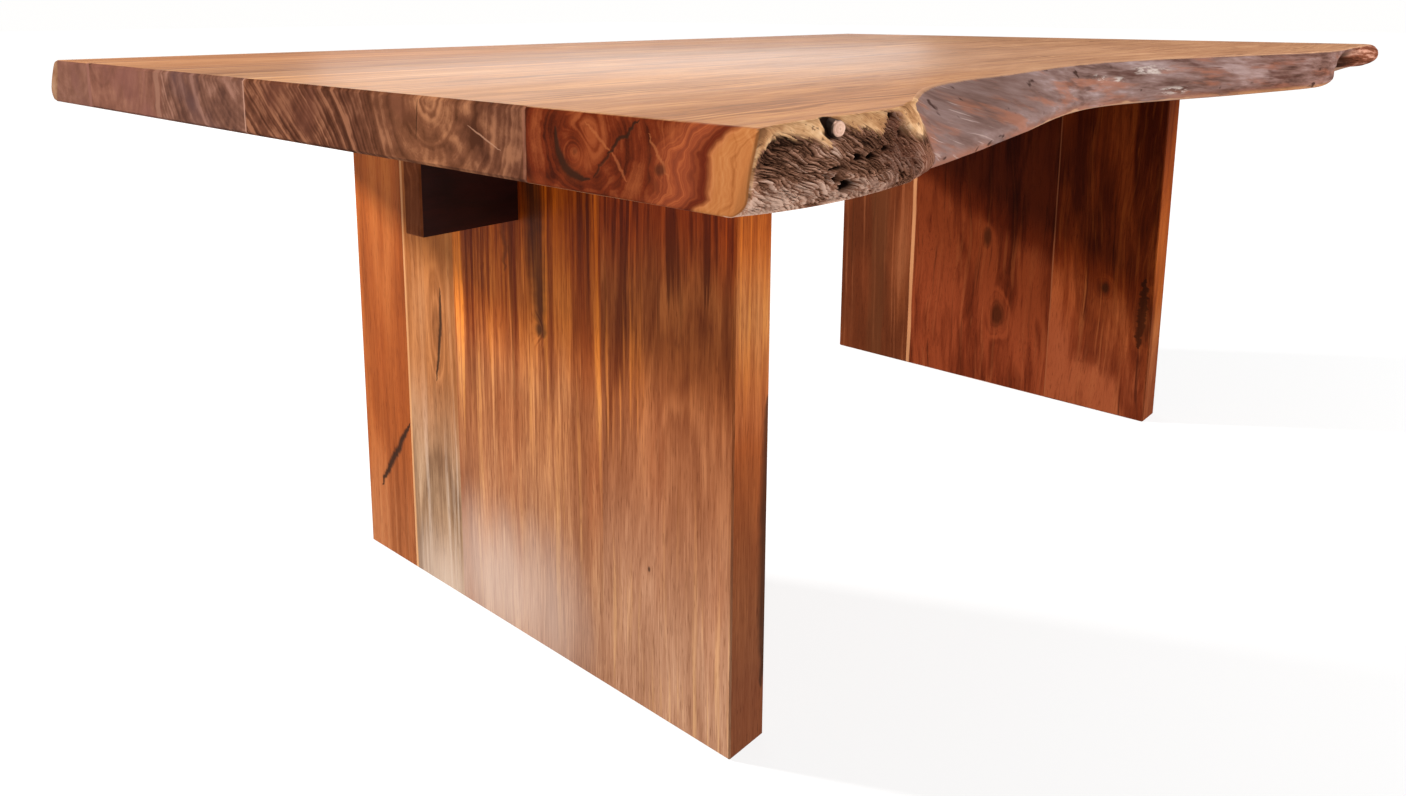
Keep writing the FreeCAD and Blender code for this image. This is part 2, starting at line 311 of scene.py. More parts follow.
# lacquered wood, solid through the board: growth rings round a pith line along the grain
def grainFinish(name, look):
    material, spot = newFinish(name)
    x, y, z = spot.parts()
    normal = spot.add("ShaderNodeTexCoord", {}, {}, "Normal").parts()
    upright = look["grain"] == "up"
    turn = (0, math.radians(90), 0) if upright else (0, 0, 0)
    pithU, pithV = look["pith"]
    sockets = {"Vector": spot, "Location": (look["slide"], -pithU, -pithV), "Rotation": turn}
    local = spot.add("ShaderNodeMapping", {}, sockets)

    def figure(label, detail, roughness=0.55, take=0, base=local, short=1.0):
        along, across, deep = grainWaves[label]
        return base.grow((along * short, across, deep)).cloud(detail, roughness, take)

    def sidewise(label, reach):
        # a soft push across the grain
        push = figure(label, 2.0, 0.5, 1).vector("SUBTRACT", (0.5, 0.5, 0.5))
        return push.grow((0.0, reach, reach))

    run, side, deep = local.parts()
    tiltU, tiltV = look["tilt"]
    if look["slant"]:
        # rings lean over away from the pith
        side = side - deep * side.ease(0.04, 0.22) * look["slant"]
    leaned = spot.join(run, side + run * tiltU, deep + run * tiltV)
    # slow bends of the trunk, then small ripples
    bent = leaned.vector("ADD", sidewise("bend", look["bend"]))
    ripple = figure("ripple", 2.0)
    ring = bent.grow((0.0, 1.0, 1.0)).length() + ripple.swing(look["ripple"])
    if look["swirl"]:
        # livelier figure away from the ends
        ring = ring + figure("swirl", 3.0, 0.5).swing(look["swirl"]) * (1.0 - abs(x).ease(0.93, 1.0))
    darks = []
    for branch in look["knots"]:
        away = spot.vector("SUBTRACT", branch["place"]).vector("DIVIDE", branch["size"])
        away = away.length() + ripple.swing(0.5)
        ring = ring + (1.0 - away.ease(0.0, 1.0)) * branch["push"]
        darks.append((1.0 - away.ease(branch["core"] * 0.3, branch["core"])) * branch["dark"])
    endOn = abs(normal[2 if upright else 0]).ease(0.35, 0.7)
    broad = ring.bands(look["rings"] * ringRates["broad"], 2.0)
    lines = ring.bands(look["rings"] * ringRates["lines"], 2.0)
    # streaks wave along the board and fade where the wood is calm
    wavy = local.vector("ADD", sidewise("wave", look["wave"]))
    short = look["shortness"]
    streak = figure("streak", 3.0, 0.6, 0, wavy, short)
    fibre = figure("fibre", 2.0, 0.6, 0, wavy)
    mottle = figure("mottle", 3.0, 0.55, 0, wavy)
    calmLow, calmHigh, calmShare = look["calm"]
    lively = 1.0 - (1.0 - z.ease(calmLow, calmHigh)) * calmShare
    if look["flank"]:
        onFlank = (0.0 - normal[1]).ease(0.6, 0.9)
        lively = lively * (1.0 - onFlank * 0.7)
    weightBroad, weightLines, weightStreak, weightFibre, weightMottle = look["weights"]
    tone = 0.5 + broad.swing(weightBroad) * lively + lines.swing(weightLines) * lively
    tone = tone + streak.swing(weightStreak) * lively + fibre.swing(weightFibre) + mottle.swing(weightMottle)
    colour = tone.ramp(look["stops"])
    # redder patches, golden gleams and dark veins along the grain
    hue = figure("hue", 2.0, 0.5, 1).parts()
    colour = colour.blend(look["patch"], hue[0].ease(0.5, 0.75) * look["patchShare"])
    gleamTone, gleamShare = look["gleam"]
    gleam = figure("gleam", 2.0, 0.55, 0, wavy, short).ease(0.53, 0.68) * hue[1].ease(0.36, 0.58)
    colour = colour.blend(gleamTone, gleam * gleamShare * lively)
    # painted shade: dark veins spread higher up the leg, where the top's shadow falls
    shadeRise = z.ease(0.42, 0.60) * look["veinShadeRise"]
    vein = 1.0 - (figure("vein", 2.0, 0.55, 0, wavy, short) - shadeRise * 0.35).ease(0.28, 0.40)
    vein = vein * (hue[2] + shadeRise).ease(0.36, 0.58)
    colour = colour.blend(look["veinTone"], vein * look["veinShare"] * lively)
    # short dark pores
    pores = figure("pores", 1.0, 0.5, 0, wavy).ease(0.58, 0.70)
    colour = colour.tinge(poreTint, pores * look["pores"])
    # end grain: rings across the pith and cloudy patches, darker with finish
    weightRing, weightFine, weightCloud = look["endWeights"]
    endRing = ring.bands(look["rings"] * ringRates["end"], 1.0)
    endTone = 0.5 + endRing.swing(weightRing) + lines.swing(weightFine)
    endTone = endTone + ripple.swing(weightCloud) + fibre.swing(0.25)
    endColour = endTone.ramp(look["endStops"]).blend(look["endPatch"], hue[0].ease(0.48, 0.68) * 0.6)
    if look["heart"]:
        # paler round the pith
        middle, wide, tint = look["heart"]
        band = 1.0 - abs(y + ripple.swing(wide * 0.4) - middle).ease(0.0, wide * 0.5)
        endColour = endColour.tinge(tint, band)
    colour = colour.blend(endColour, endOn)
    for low, high, tint, slope in look["paintedShading"]:
        # painted shade and light: a tint from one height to another, on a line that may slope; mostly shade
        # under the top, light low down
        level = z - y * slope + hue[1].swing(0.08) + streak.swing(0.04)
        colour = colour.tinge(tint, level.ease(low, high))
    if look["sunny"]:
        # warmer towards one end
        low, high, tint = look["sunny"]
        colour = colour.tinge(tint, (x + hue[1].swing(0.5)).ease(low, high) * (1.0 - endOn))
    if look["flank"]:
        # painted light on the narrow face towards the front, tinted by height: lighter and paler towards the
        # top, partly the wood's own tone
        colour = colour.tinge((z + hue[0].swing(0.12)).ramp(look["flank"]), onFlank)
    if look["paintedSheen"]:
        # a painted sheen: a pale hazy reflection low on the outer face
        paintedSheen = look["paintedSheen"]
        away = ovalAway(y, z, paintedSheen["place"], paintedSheen["size"]) + hue[0].swing(0.6)
        share = (1.0 - away.ease(0.1, 1.0)) * paintedSheen["share"] * (0.0 - normal[0]).ease(0.3, 0.7)
        colour = colour.blend(paintedSheen["tone"], share * (0.6 + fibre * 0.5 + streak * 0.3))
    for middle, wide, tint, share in look["strips"]:
        # a narrow band of other wood along a glue line
        band = 1.0 - abs(y + ripple.swing(wide * 0.8) - middle).ease(wide * 0.25, wide * 0.5)
        colour = colour.blend(tint, band * share * (0.6 + streak * 0.8))
    if look["sap"]:
        colour = look["sap"](spot, colour, ripple, lines)
    for scratch in look["scratches"]:
        colour = colour.blend(scratch["tone"], crackLine(spot, scratch))
    darks.extend(crackLine(spot, crack) for crack in look["cracks"])
    height = fibre * 0.5 + streak * 0.6 + lines * 0.3
    if darks:
        dark = reduce(Flow.most, darks)
        colour = colour.blend(look["knotTone"], dark)
        height = height - dark * 2.0
    rough = look["rough"] + fibre.swing(0.18) + broad.swing(0.12)
    shine = look["shine"]
    if look["polish"]:
        # rubbed brighter towards the middle of the top
        polish = look["polish"]
        away = ovalAway(x, y, polish["place"], polish["size"]) + hue[2].swing(0.5)
        shine = shine + (1.0 - away.ease(-0.2, 1.3)) * polish["share"]
    shine = shine + endOn * (endShine - shine)
    if look["dress"]:
        colour, rough, height, shine = look["dress"](spot, colour, rough, height, shine)
    closeFinish(spot, colour, rough, shine, (height, *grainBump))
    return material


def crackLine(spot, crack):
    # a split between two points, wandering a little and widest in its middle
    startU, startZ = crack["start"]
    spanU, spanZ = crack["end"][0] - startU, crack["end"][1] - startZ
    length = math.hypot(spanU, spanZ)
    flankY = crack["flankY"]

    def inPlane(u, z):
        # Y-Z plane, or X-Z on a flank
        return (0.0, u, z) if flankY is None else (u, 0.0, z)

    local = spot.vector("SUBTRACT", inPlane(startU, startZ))
    along = local.vector("DOT_PRODUCT", inPlane(spanU / length, spanZ / length), 1) / length
    cross = local.vector("DOT_PRODUCT", inPlane(-spanZ / length, spanU / length), 1)
    wander = (along + crack["seed"]).bands(crack["turns"], 3.0).swing(crack["wander"])
    off = abs(cross + along * (1.0 - along) * crack["bow"] + wander)
    taper = (along * (1.0 - along) * 4.0).most(0.0) ** 0.6
    inside = along.ease(0.0, 0.02) * (1.0 - along.ease(0.98, 1.0))
    if flankY is not None:
        inside = inside * (1.0 - abs(spot.parts()[1] - flankY).ease(0.003, 0.010))
    line = 1.0 - (off / (taper * crack["width"] + 0.00001)).ease(crack["soft"], 1.0)
    return line * inside * crack["share"]


def split(start, end, width, wander, **changes):
    # one crack or scratch
    spec = {"start": start, "end": end, "width": width, "wander": wander}
    plain = {"share": 0.9, "bow": 0.0, "seed": 0.0, "turns": 4.0, "soft": 0.2, "flankY": None}
    return {**spec, **plain, **changes}


def knot(place, size, push, core, dark):
    return {"place": place, "size": size, "push": push, "core": core, "dark": dark}


def shades(dark, middle, light):
    return [(0.12, dark), (0.5, middle), (0.88, light)]


plainBoard = {
    "grain": "along", "slide": 0.0, "pith": (0.0, 0.70), "tilt": (0.0, 0.0), "slant": 0.0, "bend": 0.07,
    "ripple": 0.006, "swirl": 0.07, "wave": 0.05, "shortness": 3.2, "pores": 0.5,
    "calm": (-2.0, -1.0, 0.0), "rings": 95.0,
    "weights": (0.75, 0.65, 0.7, 0.5, 0.75),  # broad rings, ring lines, streaks, fibres, mottle
    "stops": shades((0.167, 0.068, 0.030), (0.324, 0.151, 0.073), (0.47, 0.257, 0.135)),
    "patch": (0.32, 0.135, 0.060), "patchShare": 0.4, "gleam": ((0.49, 0.27, 0.132), 0.35),
    "veinTone": (0.14, 0.055, 0.025), "veinShare": 0.5, "veinShadeRise": 0.0,
    "endWeights": (1.5, 0.4, 0.9),  # rings, ring lines and clouds of the end grain
    "endStops": shades((0.060, 0.023, 0.013), (0.110, 0.042, 0.024), (0.20, 0.080, 0.045)),
    "endPatch": (0.100, 0.042, 0.028), "heart": None, "paintedShading": (),
    "sunny": (-0.15, -0.70, (1.02, 0.95, 0.86)), "flank": None, "paintedSheen": None, "strips": (), "sap": None,
    "scratches": (), "cracks": (), "knots": (), "knotTone": (0.020, 0.008, 0.004), "dress": None,
    "rough": 0.45, "shine": 0.28,
    "polish": {"place": (-0.46, -0.10), "size": (1.05, 0.48), "share": 0.66},
}
plainLeg = {
    **plainBoard, "grain": "up", "shine": 0.12, "polish": None, "swirl": 0.0, "wave": 0.016,
    "shortness": 1.0, "sunny": None, "pores": 0.75, "weights": (1.0, 1.0, 1.3, 0.7, 0.6),
    "gleam": ((0.52, 0.22, 0.070), 0.7), "veinTone": (0.075, 0.018, 0.005), "veinShare": 0.7,
    "endStops": shades((0.07, 0.020, 0.008), (0.16, 0.055, 0.022), (0.28, 0.11, 0.05)),
    "endPatch": (0.15, 0.045, 0.018),
}

# golden sapwood beside the live edge on the near end grain, with purple arcs before it
sapLook = {
    "endFace": (-1.004, -1.008), "upperBow": (0.742, 1.05), "lowerBow": (0.713, 1.5), "arcCount": 170.0,
    "arcFade": (-0.568, -0.535), "lineStart": (-0.598, -0.590), "lineStop": (-0.589, -0.574),
    "paleFade": (-0.601, -0.589),
    "arcStops": [(0.3, (0.135, 0.028, 0.012)), (0.5, (0.22, 0.046, 0.016)), (0.7, (0.35, 0.090, 0.028))],
    "paleStops": [(0.25, (0.22, 0.064, 0.016)), (0.5, (0.325, 0.113, 0.033)), (0.8, (0.42, 0.18, 0.064))],
    "darkLine": (0.45, 0.32, 0.32),
}


def frontSap(spot, colour, ripple, lines):
    x, y, z = spot.parts()
    onEnd = x.ease(*sapLook["endFace"])
    upper, upperBow = sapLook["upperBow"]
    lower, lowerBow = sapLook["lowerBow"]
    bow = (z - upper).most(0.0) * upperBow - (lower - z).most(0.0) * lowerBow
    edge = y + bow + ripple.swing(0.012)
    arcs = (edge + ripple.swing(0.01)).bands(sapLook["arcCount"], 2.0, 0.5)
    arcShare = (1.0 - edge.ease(*sapLook["arcFade"])) * onEnd
    colour = colour.blend(arcs.ramp(sapLook["arcStops"]), arcShare * 0.8)
    darkLine = edge.ease(*sapLook["lineStart"]) * (1.0 - edge.ease(*sapLook["lineStop"])) * onEnd
    colour = colour.tinge(sapLook["darkLine"], darkLine)
    pale = (arcs * 0.6 + lines * 0.4).ramp(sapLook["paleStops"])
    return colour.blend(pale, (1.0 - edge.ease(*sapLook["paleFade"])) * onEnd)


# bark strands of the live edge, the same in the relief and in the finish
barkStrands = {
    "seed": 4.0, "nearX": -1.01, "lean": 0.40, "leanGrowth": 1.35, "sway": 0.013,
    "swayWaves": (34.0, 60.0), "jog": 0.024, "jogWaves": (60.0, 220.0), "alongCount": 50.0,
    "acrossCount": 500.0,
}


def drift(x, z, waves, depth):
    # slow noise over a live edge
    return x.join(x * waves[0], z * waves[1], depth).cloud(2.0, 0.5)


def strandField(x, z, spec):
    # distance to the gaps between strands, a tone for each strand, and the leaned places
    seed = spec["seed"]
    run = x - spec["nearX"]
    across = z + run * spec["lean"] + run * run * spec["leanGrowth"]
    across = across + drift(x, z, spec["swayWaves"], seed).swing(spec["sway"])
    along = x - z * spec["lean"] + drift(x, z, spec["jogWaves"], seed + 5.0).swing(spec["jog"])
    vector = x.join(along * spec["alongCount"], across * spec["acrossCount"], seed)
    sockets = {"Vector": vector, "Scale": 1.0, "Randomness": 1.0}
    edge = x.add("ShaderNodeTexVoronoi", {"feature": "DISTANCE_TO_EDGE"}, sockets)
    tint = x.add("ShaderNodeTexVoronoi", {"feature": "F1"}, sockets, 1)
    return edge, tint.parts()[0], along, across


# bark, bare skin and sanded sapwood of the live front edge
edgeStops = {
    "bark": [
        (0.06, (0.030, 0.013, 0.008)),
        (0.28, (0.092, 0.039, 0.022)),
        (0.50, (0.200, 0.090, 0.052)),
        (0.74, (0.36, 0.185, 0.120)),
        (0.96, (0.54, 0.35, 0.265)),
    ],
    # mauve grey, the paler stops partly a painted sheen
    "skin": [
        (0.15, (0.085, 0.045, 0.036)),
        (0.40, (0.17, 0.098, 0.082)),
        (0.62, (0.235, 0.150, 0.134)),
        (0.92, (0.36, 0.27, 0.26)),
    ],
    "redEnd": [(0.40, (0.045, 0.011, 0.004)), (0.5, (0.19, 0.058, 0.030)), (0.60, (0.52, 0.26, 0.18))],
    "gold": [
        (0.15, (0.20, 0.085, 0.035)),
        (0.38, (0.42, 0.205, 0.090)),
        (0.60, (0.62, 0.36, 0.18)),
        (0.90, (0.80, 0.56, 0.35)),
    ],
}
edgeTones = {
    "farBark": (0.85, 0.79, 0.76), "ruddy": (0.16, 0.056, 0.035), "rust": (0.34, 0.130, 0.075),
    "scratch": (0.46, 0.34, 0.30), "burnt": (0.075, 0.028, 0.020), "paleFleck": (0.56, 0.48, 0.43),
    "goldFoot": (0.46, 0.25, 0.115), "speck": (0.035, 0.014, 0.010), "farSkin": (0.87, 0.76, 0.71),
    "wormSpot": (0.10, 0.040, 0.022), "plainRim": (0.44, 0.235, 0.140), "hollow": (0.012, 0.005, 0.003),
}
# waves of each figure in a metre
edgeWaves = {
    "fine": (60.0, 0.0, 1000.0), "blotch": (22.0, 30.0, 45.0), "scrape": (15.0, 0.0, 160.0),
    "shade": (7.0, 0.0, 34.0), "rust": (6.0, 0.0, 42.0), "scratch": (14.0, 0.0, 320.0),
    "burnt": (9.0, 0.0, 64.0), "fleckNoise": (38.0, 30.0, 200.0), "speck": (28.0, 20.0, 62.0),
    "stain": (34.0, 40.0, 60.0), "wormSpot": (150.0, 150.0, 260.0),
}
# where along the edge, and how high, each look comes in
edgeReach = {
    "lowPale": (-0.88, -0.82), "highShade": (-0.96, -0.93), "ragged": (-0.93, -0.86),
    "farBark": (-0.93, -0.84), "ruddy": (-0.92, -0.85), "farther": (-0.45, -0.1),
    "lessRust": (0.2, 0.5), "noScratch": (-0.62, -0.5), "burnt": (-0.45, 0.0),
    "footStart": (0.05, 0.25), "footStop": (0.55, 0.64), "farSkin": (-0.1, 0.4), "redEnd": (0.74, 0.80),
    "arris": (-1.006, -0.998), "creamHighlightStart": (-1.004, -0.992), "creamHighlightStop": (-0.975, -0.945),
    "noWormSpot": (-0.80, -0.78), "plainRim": (-0.76, -0.72),
}
edgeHeights = {
    "lowPale": (0.712, 0.736), "highShade": (0.730, 0.744), "lowEdge": (0.704, 0.718),
    "goldFoot": (0.706, 0.711),
}
# pale flecks on the bare skin: place along and up, half width and half height
frontFlecks = (
    ((0.045, 0.7475), (0.060, 0.010)),
    ((-0.095, 0.7420), (0.030, 0.007)),
    ((0.080, 0.7180), (0.055, 0.008)),
    ((-0.045, 0.7380), (0.020, 0.005)),
)


def edgeDress(spot, colour, rough, height, shine):
    x, _, z = spot.parts()

    def figure(base, label, detail, roughness=0.55):
        return base.grow(edgeWaves[label]).cloud(detail, roughness)

    def past(label):
        return x.ease(*edgeReach[label])

    def above(label):
        return z.ease(*edgeHeights[label])

    live = spot.layer("live").ease(0.2, 0.8) * (1.0 - abs(x).ease(1.0088, 1.0096))
    edge, tint, along, across = strandField(x, z, barkStrands)
    gap = 1.0 - edge.ease(0.01, 0.13)
    fine = figure(spot.join(along, 0.0, across), "fine", 2.0, 0.6)
    blotch = figure(spot, "blotch", 3.0)
    lowPale = (1.0 - above("lowPale")) * (1.0 - past("lowPale"))
    highShade = above("highShade") * (1.0 - past("highShade"))
    ragged = past("ragged")
    barkTone = 0.55 + tint.swing(0.34) + edge.ease(0.05, 0.4) * 0.16
    barkTone = barkTone - gap * (0.28 - lowPale * 0.10 + ragged * 0.22) + fine.swing(0.42 + ragged * 0.40)
    barkTone = barkTone + blotch.swing(1.6 + lowPale) + lowPale * 0.38 - highShade * 0.20
    bark = barkTone.ramp(edgeStops["bark"]).tinge(edgeTones["farBark"], past("farBark"))
    bark = bark.blend(edgeTones["ruddy"], past("ruddy") * blotch.ease(0.4, 0.6) * 0.5)
    # bare skin past the crest: mauve grey, its paler grey partly a painted sheen, with rust streaks, pale
    # flecks and dark specks
    settle = 1.0 - ((x + 0.8) / 0.75).most(0.0).least(1.0)
    drawn = spot.join(x + z * 0.5, 0.0, z - settle * settle * 0.085 + x * 0.03)
    scrape = figure(drawn, "scrape", 3.0, 0.65)
    shade = figure(drawn, "shade", 4.0, 0.62)
    farther = past("farther")
    skinTone = 0.5 + shade.swing(1.0 + farther) + scrape.swing(0.7 + farther * 0.4)
    skin = skinTone.ramp(edgeStops["skin"])
    rust = figure(drawn, "rust", 4.0, 0.66)
    rustLow = (1.0 - above("lowEdge")) * rust.ease(0.34, 0.5) * 0.85
    rustShare = (rust.ease(0.50, 0.64) * 0.75).most(rustLow) * (1.0 - past("lessRust") * 0.4)
    skin = skin.blend(edgeTones["rust"], rustShare * (0.55 + scrape * 0.6))
    scratch = figure(drawn, "scratch", 2.0, 0.5).ease(0.62, 0.70)
    skin = skin.blend(edgeTones["scratch"], scratch * 0.55 * (1.0 - past("noScratch")))
    burnt = figure(drawn, "burnt", 3.0, 0.6).ease(0.55, 0.66) * past("burnt")
    skin = skin.blend(edgeTones["burnt"], burnt * 0.65)
    fleckNoise = figure(spot, "fleckNoise", 3.0, 0.65).ease(0.46, 0.60)
    for place, size in frontFlecks:
        paleFleck = (1.0 - ovalAway(x, z, place, size).ease(0.2, 1.0)) * fleckNoise
        skin = skin.blend(edgeTones["paleFleck"], paleFleck * 0.85)
    goldFoot = (1.0 - above("goldFoot")) * past("footStart") * (1.0 - past("footStop"))
    skin = skin.blend(edgeTones["goldFoot"], goldFoot * rust.ease(0.36, 0.5) * 0.7)
    skin = skin.blend(edgeTones["speck"], figure(spot, "speck", 2.0).ease(0.66, 0.74) * 0.85)
    skin = skin.tinge(edgeTones["farSkin"], past("farSkin"))
    redEnd = past("redEnd")
    skin = skin.blend((rust * 0.6 + scrape * 0.4).ramp(edgeStops["redEnd"]), redEnd)
    # sanded sapwood: cream at the near end, partly a painted highlight there, ochre stains further on
    stain = figure(spot, "stain", 3.0, 0.6)
    creamHighlight = past("creamHighlightStart") * (1.0 - past("creamHighlightStop"))
    goldTone = 0.50 + stain.swing(1.7) + fine.swing(0.5) + creamHighlight * 0.12 - (1.0 - past("arris")) * 0.26
    gold = goldTone.ramp(edgeStops["gold"])
    wormSpots = figure(spot, "wormSpot", 2.0).ease(0.60, 0.68)
    gold = gold.blend(edgeTones["wormSpot"], wormSpots * (1.0 - past("noWormSpot")) * 0.7)
    gold = gold.blend(edgeTones["plainRim"], past("plainRim") * 0.9)
    # the sanded rim ends raggedly in the bark and cleanly on the skin
    barky = spot.layer("bark") * 0.85 + 0.15
    rimGap = spot.layer("rimGap") + (blotch.swing(0.008) + tint.swing(0.004)) * barky
    bare = (1.0 - (rimGap / (barky * 0.0040 + 0.0004)).ease(-0.9, 0.4)).most(spot.layer("sap"))
    shell = bark.blend(skin, spot.layer("skin")).blend(gold, bare)
    # painted shade: the hollows go near black, a little less so at the far end
    pit = (spot.layer("pit") * (0.72 + scrape * 0.5)).ease(0.25, 0.75)
    shell = shell.blend(edgeTones["hollow"], pit * (1.0 - redEnd * 0.22))
    colour = colour.blend(shell, live)
    rough = rough + (0.72 - bare * 0.2 - rough) * live
    height = height * (1.0 - live * 0.5) + (fine + edge) * live * (1.0 - bare) * 2.0
    shine = shine + (0.06 - shine) * live
    return colour, rough, height, shine


# pale sapwood along the mild back edge
backSap = {
    "waves": (6.0, 60.0, 60.0), "edgeTint": (0.62, 0.55, 0.48), "endTint": (0.32, 0.30, 0.32),
    "share": 0.75,
}


def backDress(spot, colour, rough, height, shine):
    x, y, _ = spot.parts()
    onEnd = abs(x).ease(1.004, 1.008)
    rim = y.ease(0.626, 0.634).most(spot.layer("live").ease(0.2, 0.9))
    gold = spot.grow(backSap["waves"]).cloud(3.0).ramp(edgeStops["gold"])
    gold = gold.tinge(backSap["edgeTint"], 1.0 - onEnd).tinge(backSap["endTint"], onEnd)
    return colour.blend(gold, rim * backSap["share"]), rough, height, shine
